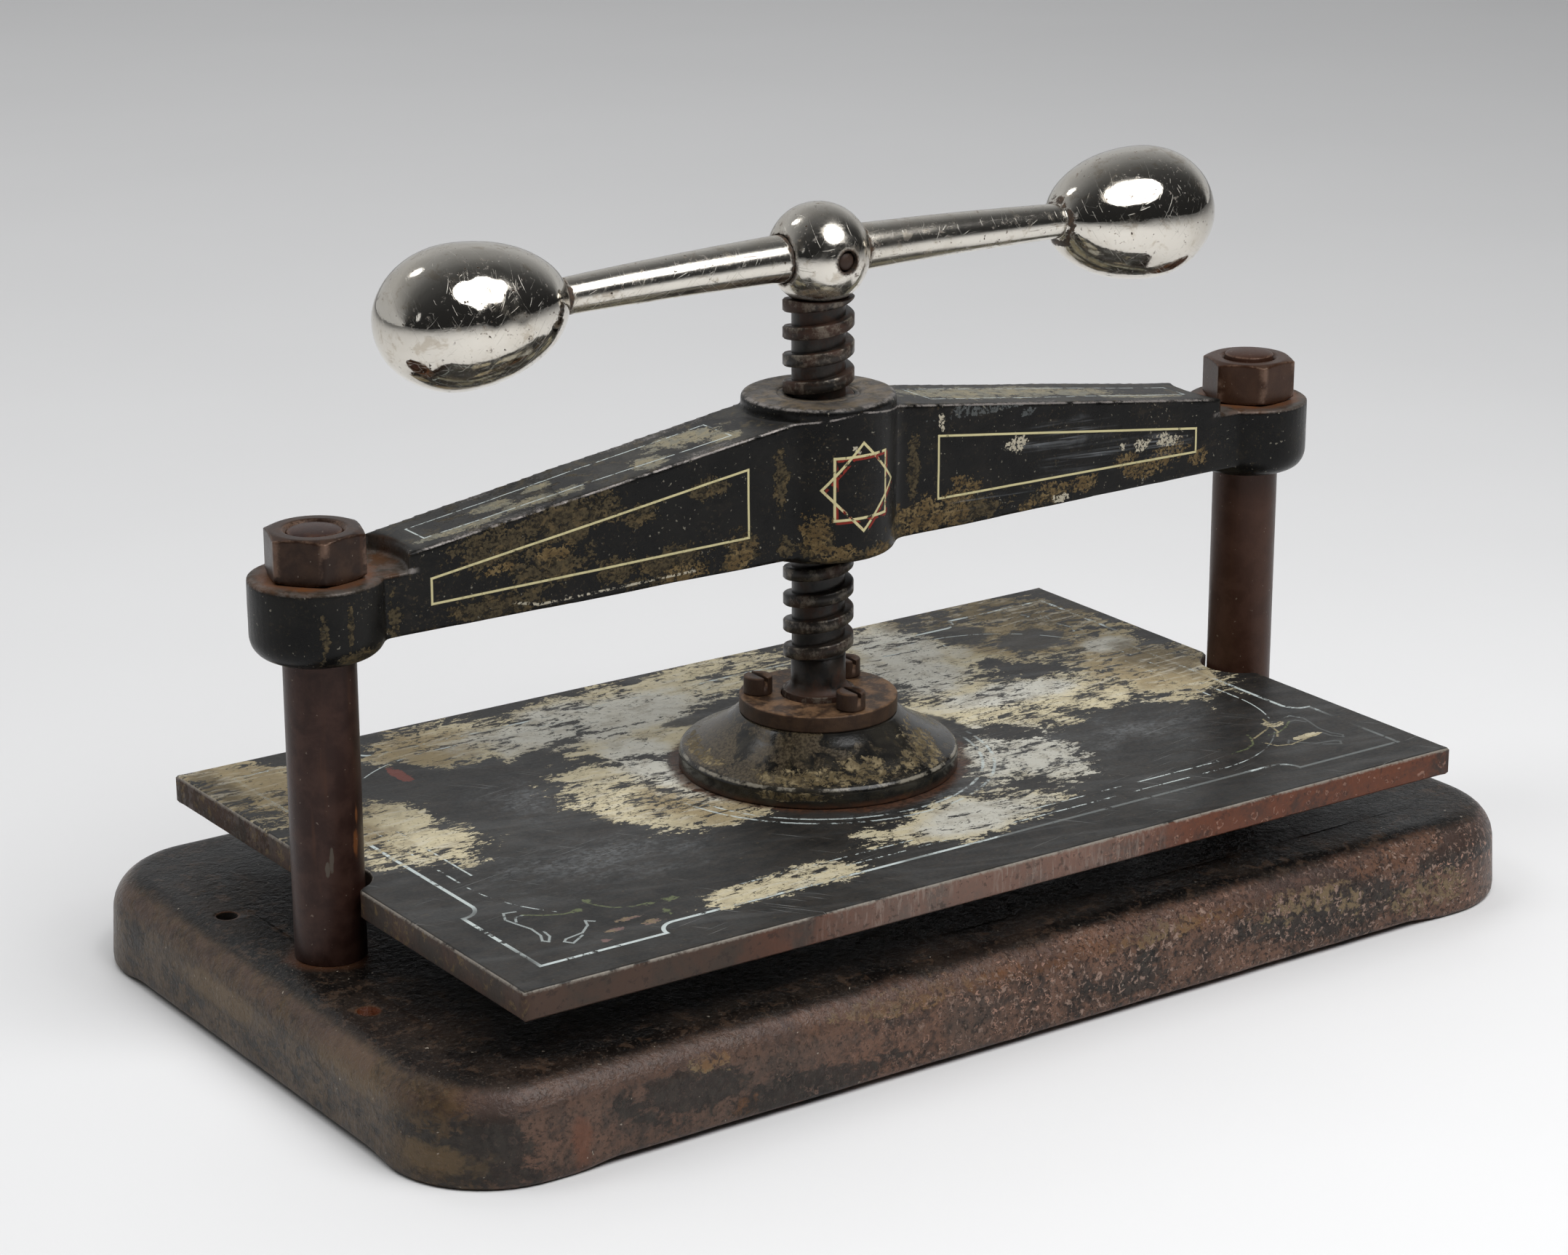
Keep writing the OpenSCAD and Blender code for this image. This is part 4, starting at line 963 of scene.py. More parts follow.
def bridge_finish():
    """Black japan with cream line panels, worn to olive and ochre along its lower edges."""
    f = Finish("bridge_japan")
    lumps = f.noise(16, 5, 0.65, 0.4)
    chips = f.grain((6.5, 5, 3.8), 5, 0.70)
    crumbs = f.noise(1.2, 3, 0.6, 0.0, 4.0)
    fine = f.noise(0.8, 3, 0.6)
    gaps = f.noise(6, 5, 0.72, 0.0, 11.0)
    ax, ay = abs(f.x), abs(f.y)
    below = ARM_TOP_Z - (ax - ARM_SLOPE_X) * ARM_SLOPE - f.z
    upward = f.ramp(f.nz, 0.55, 0.85)
    face = f.ramp(ay, 12.0, 13.5) * (1 - upward)
    on_arm = f.ramp(ax, 178, 174)

    # Worn places of the faces
    ragged = lumps.swing(1.6) + chips.swing(2.6) + crumbs.swing(1.5)
    islands = f.ramp(f.grain((4, 3, 2.4), 5, 0.75, 0.5, (3, 5, 1)), 0.53, 0.58)
    olive = f.patches(FRONT, BRIDGE_OLIVE, ragged, 0.08, 0.16) * (1 - islands * 0.85)
    flecked = f.ramp(crumbs + chips.swing(0.5), 0.42, 0.52)
    earth = f.patches(FRONT, BRIDGE_EARTH, ragged, 0.10, 0.22) * flecked * (1 - islands * 0.8)
    cream = f.patches(FRONT, BRIDGE_CREAM, ragged * 1.1, 0.12, 0.20) * f.ramp(crumbs, 0.42, 0.50)
    wipes = f.ramp(f.grain((60, 30, 1.8), 3, 0.55, 0.8, (1, 0, 2), (0, 3, 0)), 0.46, 0.66)
    wiped = wipes * f.patches(FRONT, BRIDGE_WIPED, lumps.swing(1.4), 0.0, 0.9) * face
    scuffs = f.patches(FRONT, BRIDGE_SCUFFS, ragged, 0.1, 0.2) * face * f.ramp(crumbs, 0.42, 0.56)

    # Painted lines and the ornament with its red shade
    line, thin, chalk_thick, chalk_thin = 0.85, 0.65, 1.0, 0.9
    panel = f.outline(f.x, f.z, LEFT_PANEL, line).at_least(f.outline(f.x, f.z, RIGHT_PANEL, line))
    lines = panel * face * f.ramp(gaps, 0.30, 0.36)
    top_lines = f.trail(ax, ay, TOP_PANEL, thin) * upward * f.ramp(gaps, 0.42, 0.50) * 0.75
    chalk = f.stroke(f.x, f.z, *CHALK_LINE[:2], chalk_thick)
    chalk = chalk.at_least(f.stroke(f.x, f.z, *CHALK_LINE[1:], chalk_thin))
    chalk = chalk * f.ramp(crumbs + (chips - 0.5), 0.46, 0.54) * face
    around = f.around() * BOSS_R
    up = f.z - SQUARES_Z
    front = f.ramp(f.y, -18.0, -20.0)
    gilt = crossed_squares(f, around, up) * front * f.ramp(gaps, 0.38, 0.46)
    shade = crossed_squares(f, around - SQUARES_SHADE, up + SQUARES_SHADE) * front
    shade = shade * f.ramp(f.noise(4, 3, 0.6, 0.0, 19.0), 0.42, 0.5)

    # Tops of the arms, rubbed edges painted pale as bare metal and as a highlight along the arris, nut seats
    # and the ring on the boss
    rubbed = f.patches(TOP, ARM_TOP_WORN, ragged, 0.05, 0.18) * (1 - islands * 0.7)
    grey = f.coats(
        ARM_GREY_DARK,
        (f.ramp(lumps, 0.4, 0.62), ARM_GREY),
        (f.ramp(chips, 0.52, 0.64) * 0.6, ARM_CHIP),
        (rubbed * 0.85, f.mix(f.ramp(chips, 0.44, 0.6), ARM_RUBBED, ARM_RUBBED_GREY)))
    edge = f.ramp(abs(below - 0.5) + fine.swing(0.6), 0.45, 0.20) * f.ramp(ay, 12, 14) * on_arm
    seat_rim = f.ramp(abs(f.z - SEAT_Z) + fine.swing(1.2), 1.3, 0.4) * f.ramp(ax, 176, 180)
    boss_rim = f.ramp(abs(f.z - BOSS_TOP_Z) + (fine - 0.5), 1.1, 0.3) * f.ramp(ax, 34, 30)
    # Rubbed edges and the rims of the seats and the boss: bare metal and painted highlight
    bright = strongest(edge * 0.75, seat_rim * 0.7, boss_rim * 0.6) * f.ramp(gaps, 0.40, 0.56)
    from_column = f.length(ax - COLUMN_X, f.y)
    seat = f.ramp(from_column, 32.5, 30) * f.ramp(f.z, SEAT_Z - 1.5, SEAT_Z - 0.4)
    washer = f.ramp(from_column + chips.swing(8), 22, 18) * seat
    ring = f.ramp(f.length(f.x, f.y), BOSS_R - 1, BOSS_R - 2.5)
    ring = ring * f.ramp(f.z, BOSS_TOP_Z - 1.5, BOSS_TOP_Z - 0.4)

    cloud = f.ramp(f.noise(24, 4, 0.6, 0.5, 31.0), 0.40, 0.66)
    black = f.coats(
        JAPAN_DEEP,
        (f.ramp(lumps, 0.35, 0.75), JAPAN_PALE),
        (f.ramp(chips, 0.54, 0.66) * cloud * 0.6, JAPAN_BROWN),
        (f.ramp(crumbs, 0.58, 0.66) * cloud * 0.55, JAPAN_SPECK),
        (f.ramp(f.noise(1.5, 2, 0.5, 0.0, 37.0), 0.70, 0.73) * 0.6, DUST_SPECK))
    undercoat = f.coats(
        OLIVE_DARK,
        (f.ramp(crumbs, 0.36, 0.62), OLIVE),
        (f.ramp(f.noise(4.5, 5, 0.7, 0.4, 9.0), 0.52, 0.62) * 0.7, OLIVE_BRIGHT))
    colour = f.coats(
        black,
        (olive, undercoat),
        (earth, f.mix(f.ramp(chips, 0.4, 0.6), GOLD_EARTH, GOLD_EARTH_DARK)),
        (wiped * 0.42, WIPE_BLUE),
        (scuffs * 0.45, SCUFF_BLUE),
        (cream.at_least(chalk) * (1 - upward), CHALK),
        (upward * on_arm, grey),
        (shade, SHADE_RED),
        (lines.at_least(gilt), LINE_CREAM),
        (top_lines, LINE_PALE),
        (bright, BARE_AND_HIGHLIGHT),
        (seat * 0.75, f.mix(f.ramp(lumps, 0.4, 0.6), SEAT_RUST, SEAT_BROWN)),
        (washer * 0.6, WASHER_RUST),
        (ring * 0.7, f.mix(f.ramp(chips, 0.44, 0.58), RING_GREY, RING_TAN)))
    worn = strongest(olive, earth, cream)
    height = worn * -0.5 + fine * 0.2 + lumps * 0.6 + chips * 0.3 + lines * 0.3 + gilt * 0.3
    return f.surface(
        base_color=colour, roughness=0.31 + worn * 0.28 + upward * 0.12 + fine.swing(0.2) + lumps.swing(0.2),
        metallic=bright * 0.5, normal=f.bump(height, 0.24), specular_ior_level=0.16)


# Colours of the columns and nuts, the screw, the socket and the small steel parts
COLUMN_DARK, COLUMN_PALE = (0.027, 0.0115, 0.0085), (0.050, 0.024, 0.0175)
NUT_DARK, NUT_PALE = (0.022, 0.0105, 0.0065), (0.048, 0.025, 0.015)
SMUDGE = (0.20, 0.20, 0.16)
BEVEL_WORN = (0.20, 0.125, 0.088)
CORNER_WORN = (0.185, 0.115, 0.082)
SCUFF = (0.24, 0.19, 0.15)
OIL_BROWN = (0.028, 0.021, 0.016)
THREAD_RUST = (0.058, 0.026, 0.015)
CREST_BRIGHT = (0.30, 0.26, 0.21)
SOCKET_PALE = (0.026, 0.023, 0.018)
SOCKET_BROWN = (0.040, 0.032, 0.018)
CONE_EARTH, CONE_OCHRE = (0.085, 0.062, 0.028), (0.27, 0.215, 0.12)
FILM_DARK, FILM_PALE = (0.046, 0.034, 0.020), (0.115, 0.088, 0.052)
LIP_WORN = (0.34, 0.31, 0.25)
PLATE_DARK, PLATE_PALE = (0.048, 0.027, 0.016), (0.170, 0.096, 0.050)
FASTENER_DARK, FASTENER_PALE = (0.052, 0.028, 0.017), (0.115, 0.064, 0.036)
PIN_DARK, PIN_PALE = (0.024, 0.014, 0.011), (0.045, 0.028, 0.021)

# Rust streaks and smudges low on the left column
COLUMN_STREAKS = [(-203, 78, 1.7, 9), (-202.2, 89, 1.1, 7)]
COLUMN_SMUDGES = [(-212.6, 76, 0.7, 5), (-214, 71, 0.6, 3)]
# Worn places of the socket's cone: middle along the rim and from the axis, then half sizes
CONE_WORN = [
    (-30, 46.5, 34, 3.6), (20, 45, 16, 5), (-100, 47, 26, 2.6), (36, 40, 14, 6), (100, 46, 30, 3),
    (-12, 42, 12, 3.5),
]


def column_finish(name, base, pale, gloss, corner_r):
    """Dark red-brown steel with a mottled skin and rust runs, rubbed paler past a radius."""
    f = Finish(name)
    lumps = f.noise(9, 5, 0.62, 0.3)
    fine = f.noise(0.8, 3, 0.6)
    runs = f.ramp(f.grain((5, 5, 60), 3, 0.6, 0.0, (2, 0, 0)), 0.56, 0.74)
    front = f.ramp(f.y, -8, -10)
    streaks = f.patches(FRONT, COLUMN_STREAKS, lumps.swing(2), 0.1, 0.6) * front
    smudges = f.patches(FRONT, COLUMN_SMUDGES, lumps.swing(3), 0.1, 0.5) * front
    tilt = abs(f.nz)
    bevel = f.ramp(tilt, 0.15, 0.40) * f.ramp(tilt, 0.96, 0.80) * f.ramp(fine, 0.36, 0.56)
    corners = f.ramp(f.length(abs(f.x) - COLUMN_X, f.y) + fine.swing(0.8), corner_r - 0.9, corner_r)
    colour = f.coats(
        base,
        (f.ramp(lumps, 0.36, 0.66), pale),
        (runs * 0.35, RUST),
        (f.ramp(f.x, -40, 40) * 0.3, RUST),
        (streaks * 0.6, RUST_BRIGHT),
        (smudges * 0.3, SMUDGE),
        (bevel * f.ramp(lumps, 0.36, 0.58) * 0.45, BEVEL_WORN),
        (corners * f.ramp(lumps, 0.40, 0.60) * 0.7, CORNER_WORN),
        (f.ramp(f.noise(1.7, 2, 0.4, 0.0, 41.0), 0.73, 0.76) * 0.5, SCUFF))
    return f.surface(
        base_color=colour, roughness=gloss + lumps.swing(0.25) + fine.swing(0.15), metallic=0.25,
        normal=f.bump(lumps * 0.6 + fine * 0.35, 0.12), specular_ior_level=0.28)


def screw_finish():
    """Dark oiled steel, rusty in the grooves and rubbed bright on some crests."""
    f = Finish("screw_oiled")
    lumps = f.noise(8, 5, 0.65, 0.4)
    fine = f.noise(0.8, 3, 0.6)
    out = f.length(f.x, f.y)
    groove = f.ramp(out, 11.5, 10.2)
    upper, neck = f.ramp(f.z, 150, 235), f.ramp(f.z, 106, 90)
    rust = f.noise(12, 5, 0.65, 0.3, 6.0) + upper * 0.06 - groove * 0.03 + neck * 0.12
    rust = f.ramp(rust, 0.48, 0.64)
    crest = f.ramp(out, 12.4, 12.8)
    corner = f.ramp(abs(f.nz), 0.25, 0.5) * f.ramp(abs(f.nz), 0.97, 0.85) * crest
    rubbed = (crest * 0.6).at_least(corner) * f.ramp(f.noise(5, 5, 0.72, 0.0, 12.0), 0.46, 0.62)
    colour = f.coats(
        IRON_DARK,
        (f.ramp(lumps, 0.36, 0.64), OIL_BROWN),
        (rust * 0.65, THREAD_RUST),
        (rubbed * 0.7, CREST_BRIGHT))
    return f.surface(
        base_color=colour, roughness=0.36 + rust * 0.22 + fine.swing(0.2), metallic=0.25 + rubbed * 0.5,
        normal=f.bump(lumps * 0.7 + fine * 0.5, 0.10), specular_ior_level=0.42)


def socket_finish():
    """Black paint worn to ochre on the lower cone and in a strip on the lip."""
    f = Finish("socket_paint")
    lumps = f.noise(13, 5, 0.65, 0.4)
    fine = f.noise(1.0, 3, 0.6)
    out = f.length(f.x, f.y)
    arc_u = f.around() * SOCKET_R
    above = f.z - PLATEN_TOP_Z
    on_cone = f.ramp(above, LIP_H - 0.6, LIP_H + 0.2)
    flat = f.node("ShaderNodeCombineXYZ", {}, {0: arc_u / 7, 1: f.z / 2.6, 2: 0.0})
    chips = f.noise(1, 7, 0.78, 0.3, where=flat)
    ragged = lumps.swing(1.6) + chips.swing(4.2)

    # Worn paint: spots on the cone, a strip on the lip, and pepper where the cone spreads
    cone = strongest(*(1 - f.length((arc_u - u) / half_u, (out - r) / half_r) + ragged
                       for u, r, half_u, half_r in CONE_WORN))
    strip = f.ramp(1 - f.length((arc_u + 42) / 15, (above - 4.6) / 1.7) + ragged * 0.6, 0.05, 0.2)
    worn = (f.ramp(cone, 0.07, 0.12) * on_cone).at_least(strip)
    worn = worn * (1 - f.ramp(f.noise(2.2, 4, 0.7, 0.5, 3.0), 0.50, 0.56) * 0.85)
    pepper = f.ramp(f.noise(1.6, 4, 0.7, 0.0, 33.0), 0.58, 0.62) * f.ramp(out + lumps.swing(24), 38, 48)
    worn = worn.at_least(pepper * (0.12 + on_cone * 0.88) * 0.45)

    film = f.noise(10, 5, 0.66, 0.4, 27.0) + f.ramp(arc_u, 0, -60) * 0.16
    film = f.ramp(film, 0.56, 0.66) * on_cone
    lip = f.ramp(abs(out - (SOCKET_R - 0.7)) + fine.swing(0.6), 0.55, 0.25)
    lip = lip * f.ramp(abs(above - LIP_H + 0.6), 1.3, 0.5) * f.ramp(f.noise(7, 4, 0.7, 0.0, 9.0), 0.42, 0.56)
    foot = f.ramp(above + lumps.swing(4), 3.4, 0.5)
    colour = f.coats(
        JAPAN,
        (f.ramp(lumps, 0.35, 0.70), SOCKET_PALE),
        (f.ramp(f.grain((5, 5, 5), 4, 0.7), 0.56, 0.66) * 0.5, SOCKET_BROWN),
        (film * 0.6, f.mix(f.ramp(fine, 0.42, 0.60), FILM_DARK, FILM_PALE)),
        (worn, f.mix(f.ramp(chips, 0.46, 0.68), CONE_EARTH, CONE_OCHRE)),
        (lip * 0.65, LIP_WORN),
        (foot * 0.8, f.mix(f.ramp(chips, 0.4, 0.6), DARK_RUST_AND_SHADE, RUST)))
    rough = 0.17 + worn * 0.34 + film * 0.12 + foot * 0.3 + fine.swing(0.12) + lumps.swing(0.12)
    return f.surface(
        base_color=colour, roughness=rough, normal=f.bump(worn * -0.5 + lumps * 0.6 + fine * 0.2, 0.15),
        specular_ior_level=0.42)


def rust_finish(name, base, pale):
    """Brown rust skin of the small steel parts on the socket, darkened on their sides and undersides as
    painted shade.
    """
    f = Finish(name)
    lumps = f.noise(6, 5, 0.65, 0.4)
    fine = f.noise(0.7, 3, 0.65)
    colour = f.coats(
        base,
        (f.ramp(lumps, 0.40, 0.60), pale),
        (f.ramp(f.noise(2.6, 4, 0.7, 0.5, 8.0), 0.56, 0.68) * 0.5, RUST),
        (f.ramp(f.noise(11, 4, 0.6, 0.0, 14.0), 0.52, 0.66) * 0.5, IRON_DARK),
        (f.ramp(f.noise(1.3, 3, 0.65, 0.0, 31.0), 0.58, 0.68) * 0.5, RUST_FLECK),
        # Sides and undersides darkened as painted shade
        (f.ramp(f.nz, 0.7, 0.2) * 0.8, DARK_RUST_AND_SHADE))
    return f.surface(
        base_color=colour, roughness=0.52 + lumps.swing(0.3) + fine.swing(0.2), metallic=0.15,
        normal=f.bump(lumps * 0.6 + fine * 0.6, 0.10), specular_ior_level=0.36)


# Colours of the nickel plate and of the rust at its joints
NICKEL = (0.70, 0.665, 0.60)
NICKEL_DULL = (0.54, 0.49, 0.41)
TARNISH = (0.38, 0.31, 0.22)
GRIME = (0.075, 0.045, 0.026)
PIT = (0.040, 0.026, 0.018)
JOINT_DARK, JOINT_RUST = (0.014, 0.008, 0.005), (0.060, 0.030, 0.014)


def nickel_finish():
    """Old bright nickel plate with fine scratches, pits and rust where the pieces meet."""
    f = Finish("nickel_plate")
    lumps = f.noise(15, 4, 0.6, 0.3)
    fine = f.noise(0.9, 3, 0.6)
    spots = f.noise(3.5, 4, 0.65, 0.3, 21.0)
    ax, rise = abs(f.x), f.z - HUB_Z
    scratches = strongest(
        f.ramp(f.grain((0.30, 16, 16), 2, 0.4, 0.0, turn=(20, 35, 15)), 0.68, 0.74),
        f.ramp(f.grain((18, 0.26, 12), 2, 0.4, 0.0, (3, 2, 1), (-30, 10, 40)), 0.69, 0.75),
        f.ramp(f.grain((9, 14, 0.30), 2, 0.4, 0.0, (5, 4, 2), (25, -20, 0)), 0.70, 0.76))
    pits = f.ramp(f.noise(1.5, 2, 0.5, 0.0, 7.0), 0.69, 0.72) * f.ramp(lumps, 0.42, 0.54)

    # Rust where hub, bar, balls, pin and screw meet; the left ball's joint is the rustier one
    hub_joint = f.ramp(abs(ax - 16.9) + spots.swing(4), 1.5, 0.5) * f.ramp(f.length(f.y, rise), 11.0, 9.4)
    neck_w = f.ramp(f.x, 40, -40) * 1.5 + 0.9
    neck = f.ramp((abs(ax - NECK_X - 0.6) + spots.swing(8)) / neck_w, 1.2, 0.5)
    neck = neck * f.ramp(f.length(f.y, rise + 2.4), 12, 9.5)
    pin = f.ramp(f.length(f.x, rise) + fine.swing(2), 5.6, 4.3) * f.ramp(abs(f.y), 13, 16)
    under = f.ramp(f.z + lumps.swing(6), THREAD_TOP_Z + 3.4, THREAD_TOP_Z + 0.6) * f.ramp(ax, 16, 12)
    stain = strongest(hub_joint, neck, pin, under)

    # Dull and dirty places; the bar is satin
    dull = f.ramp(f.noise(26, 4, 0.6, 0.4, 13.0), 0.46, 0.68)
    tarnish = f.ramp(f.noise(7, 5, 0.68, 0.4, 17.0), 0.54, 0.66)
    satin = f.ramp(ax, 15.5, 17.5) * f.ramp(ax, NECK_X + 1, NECK_X - 1)
    hub_haze = f.ramp(ax, 18.5, 16.5) * f.ramp(f.noise(9, 4, 0.65, 0.5, 44.0), 0.40, 0.62)
    smear = f.ramp(f.grain((24, 1.5, 1.5), 4, 0.65, 0.4, (2, 3, 5)), 0.62, 0.70) * satin
    grime = f.ramp(f.noise(3.0, 5, 0.72, 0.5, 25.0), 0.60, 0.66) * f.ramp(lumps, 0.46, 0.56)
    grime = smear.at_least(grime)
    colour = f.coats(
        NICKEL,
        (dull * 0.4, NICKEL_DULL),
        (tarnish * 0.45, TARNISH),
        (grime * 0.75, GRIME),
        (pits, PIT),
        (stain * 0.95, f.mix(f.ramp(fine, 0.4, 0.6), JOINT_DARK, JOINT_RUST)))
    rough = 0.055 + dull * 0.08 + tarnish * 0.12 + scratches * 0.14 + satin * 0.11
    rough = rough + stain.at_least(grime * 0.6) * 0.4 + hub_haze * 0.16 + fine.swing(0.04)
    height = scratches * -0.4 - pits * 1.2 + stain * fine + tarnish * fine * 0.3 + spots * 0.7 + lumps * 2.2
    return f.surface(
        base_color=colour, roughness=rough, metallic=1 - strongest(stain * 0.75, pits * 0.8, grime * 0.5),
        normal=f.bump(height, 0.04), specular_ior_level=0.3)


SHEET_DIM, SHEET_BRIGHT = (0.745, 0.745, 0.75), (0.785, 0.785, 0.79)


def floor_finish():
    """Pale studio sheet."""
    f = Finish("floor_sheet")
    colour = f.mix(f.noise(300, 3), SHEET_DIM, SHEET_BRIGHT)
    return f.surface(
        base_color=colour, roughness=0.7, normal=f.bump(f.noise(0.9, 2), 0.02), specular_ior_level=0.2)


FINISHES = {
    "base_iron": base_finish(),
    "platen_iron": platen_finish(),
    "bridge_iron": bridge_finish(),
    "socket_iron": socket_finish(),
    "column_steel": column_finish("column_patina", COLUMN_DARK, COLUMN_PALE, 0.38, 20.0),
    "nut_steel": column_finish("nut_patina", NUT_DARK, NUT_PALE, 0.36, 18.0),
    "screw_steel": screw_finish(),
    "plate_steel": rust_finish("plate_rust", PLATE_DARK, PLATE_PALE),
    "fastener_steel": rust_finish("fastener_rust", FASTENER_DARK, FASTENER_PALE),
    "nickel": nickel_finish(),
    "pin_steel": rust_finish("pin_patina", PIN_DARK, PIN_PALE),
}


def dress(obj, body, nodes, slot):
    """Lets a piece ride on its body in place of its solids, with its slot's finish."""
    obj.data.materials.clear()
    obj.data.materials.append(FINISHES[slot])
    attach(obj, body)
    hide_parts(*nodes)
    return obj


# Base

def base_row(inset, z, count_x=96, count_y=54, count_corner=14):
    """A ring of points round the base, drawn in by inset, with its foot arches."""
    half_x, half_y = BASE_L / 2 - inset, BASE_W / 2 - inset
    r = max(BASE_CORNER - inset, 4.0)
    mid_x, mid_y = half_x - r, half_y - r
    row = []
    for k in range(count_y):
        row.append((half_x, -mid_y + 2 * mid_y * k / count_y))
    row += arc(mid_x, mid_y, r, 0, 90, count_corner)[:-1]
    for k in range(count_x):
        row.append((mid_x - 2 * mid_x * k / count_x, half_y))
    row += arc(-mid_x, mid_y, r, 90, 180, count_corner)[:-1]
    for k in range(count_y):
        row.append((-half_x, mid_y - 2 * mid_y * k / count_y))
    row += arc(-mid_x, -mid_y, r, 180, 270, count_corner)[:-1]
    for k in range(count_x):
        row.append((-mid_x + 2 * mid_x * k / count_x, -half_y))
    row += arc(mid_x, -mid_y, r, 270, 360, count_corner)[:-1]
    placed = []
    for x, y in row:
        low = smooth_step(FOOT_X + FOOT_SLOPE, FOOT_X - FOOT_SLOPE, abs(x))
        low = max(low, smooth_step(FOOT_Y + FOOT_SLOPE, FOOT_Y - FOOT_SLOPE, abs(y)))
        placed.append((x, y, z + FOOT_H * low * smooth_step(12, 2, z)))
    return placed


def make_base():
    """Hollow casting with rounded edges, four feet, column bosses and a rib."""
    crown = BASE_DRAFT + BASE_EDGE
    bed_under = BASE_H - BED_T
    inner_edge = 6.0
    rows = [(crown + 14, BASE_H), (crown + 3, BASE_H)]
    rows += [(crown - BASE_EDGE * math.sin(a), BASE_H - BASE_EDGE + BASE_EDGE * math.cos(a))
             for a in quarter(10, True)]
    rows += SKIRT
    rows += [(BASE_WALL + 1 + inner_edge - inner_edge * math.cos(a),
              bed_under - inner_edge + inner_edge * math.sin(a)) for a in quarter(6, True)]
    rows += [(BASE_WALL + 12, bed_under)]
    points, rings = [], []
    for inset, z in rows:
        row = base_row(inset, z)
        rings.append(list(range(len(points), len(points) + len(row))))
        points += row
    faces = bridge_rings(rings[::-1])
    tray = new_object("base_tray", points, faces + [tuple(rings[0]), tuple(rings[-1][::-1])])
    ruffle(tray, *BASE_SKIN)
    holes = [place(rod(f"hole_{i}", HOLE_R, -2, BASE_H + 4),
                   Matrix.Translation((sx * HOLE_X, sy * HOLE_Y, 0)))
             for i, (sx, sy) in enumerate(((1, 1), (1, -1), (-1, 1), (-1, -1)))]
    cut(tray, *holes)
    parts = [flat_normals(tray)]
    boss_z = bed_under - BED_BOSS_T
    bore, sunk = STUD_R + 0.2, bed_under + 1
    for side in (-1, 1):
        outline = rounded([(bore, boss_z), (BED_BOSS_R, boss_z), (BED_BOSS_R, sunk), (bore, sunk)], 1.5,
                          closed=True)
        boss = lathe("bed_boss", outline, closed=True)
        parts.append(place(boss, Matrix.Translation((side * COLUMN_X, 0, 0))))
    half_l, half_t = COLUMN_X - 31.75, 4.0
    rib = [(-half_l, -half_t), (half_l, -half_t), (half_l, half_t), (-half_l, half_t)]
    parts.append(plate("rib", rib, 6.0, sunk, 1.2))
    return dress(merge("base_casting", *parts), "frame", ["base"], "base_iron")


def make_column(name, side, stud_rise):
    """Turned column with a shoulder and a stud at each end."""
    end = SEAT_Z + NUT_H + stud_rise
    dome = 1.8
    crown = [(STUD_R * math.cos(a), end - dome + dome * math.sin(a)) for a in quarter(8)]
    foot = BASE_H - BED_T - BED_BOSS_T - NUT_H - 1
    outline = [(0, foot), (STUD_R, foot), (STUD_R, BASE_H), (COLUMN_R, BASE_H), (COLUMN_R, BRIDGE_Z),
               (STUD_R, BRIDGE_Z), (STUD_R, end - dome - 2)]
    turned = lathe(name, rounded(outline, 0.4) + crown + [(0, end)])
    place(turned, Matrix.Translation((side * COLUMN_X, 0, 0)))
    node = "left_column" if side < 0 else "right_column"
    return dress(flat_normals(turned), "frame", [node], "column_steel")


def make_bridge():
    """Bridge casting with worn edges, and the nut thread in its middle boss."""
    plug_r, bore_r, sleeve_r = SCREW_R + 1.4, SCREW_R + 1.9, SCREW_R + 2.4
    gap, flank_gap, inset, sides = 0.5, 0.7, 0.6, 96
    shell = solid_copy("bridge_casting", "bridge")
    plug = rod("bore_plug", plug_r, BOSS_Z, BOSS_TOP_Z, sides)
    modify(shell, "BOOLEAN", operation="UNION", object=plug, solver="EXACT")
    bpy.data.objects.remove(plug)
    cut(shell, rod("bore", bore_r, BOSS_Z - 5, BOSS_TOP_Z + 5, sides))
    wear_round(shell, 0.75, 3)
    ruffle(shell, *BRIDGE_SKIN)
    modify(shell, "DECIMATE", ratio=0.28)
    sleeve = rod("nut_sleeve", sleeve_r, BOSS_Z + inset, BOSS_TOP_Z - inset, sides)
    thread = helix("nut_thread", ROOT_R + gap, SCREW_R + gap, RIDGE + flank_gap, BOSS_Z - 6, BOSS_TOP_Z + 6)
    cut(sleeve, thread)
    return dress(merge("bridge_casting", shell, sleeve), "frame", ["bridge"], "bridge_iron")


def make_nut(node):
    """Hexagon nut with worn corners."""
    nut = wear_round(solid_copy(node + "_worn", node), 0.45, 3)
    return dress(modify(nut, "DECIMATE", ratio=0.30), "frame", [node], "nut_steel")


# Platen and socket

def platen_outline():
    """The plate from above, anticlockwise, with a round-mouthed notch at each end."""
    half_l, half_w = PLATEN_L / 2, PLATEN_W / 2
    mouth_x = half_l - NOTCH_MOUTH_R
    mouth_y = math.sqrt((NOTCH_R + NOTCH_MOUTH_R) ** 2 - (COLUMN_X - mouth_x) ** 2)
    lean = math.degrees(math.atan2(mouth_y, COLUMN_X - mouth_x))
    right = [(half_l, -half_w)]
    right += arc(mouth_x, -mouth_y, NOTCH_MOUTH_R, 0, lean, 8)
    right += arc(COLUMN_X, 0, NOTCH_R, 180 + lean, 180 - lean, 30)[1:-1]
    right += arc(mouth_x, mouth_y, NOTCH_MOUTH_R, -lean, 0, 8)
    right += [(half_l, half_w)]
    outline = right + [(-x, -y) for x, y in right]
    dense = []
    for i, p in enumerate(outline):
        q = outline[(i + 1) % len(outline)]
        steps = max(1, round(math.dist(p, q) / 4))
        dense += [(p[0] + (q[0] - p[0]) * k / steps, p[1] + (q[1] - p[1]) * k / steps) for k in range(steps)]
    return dense


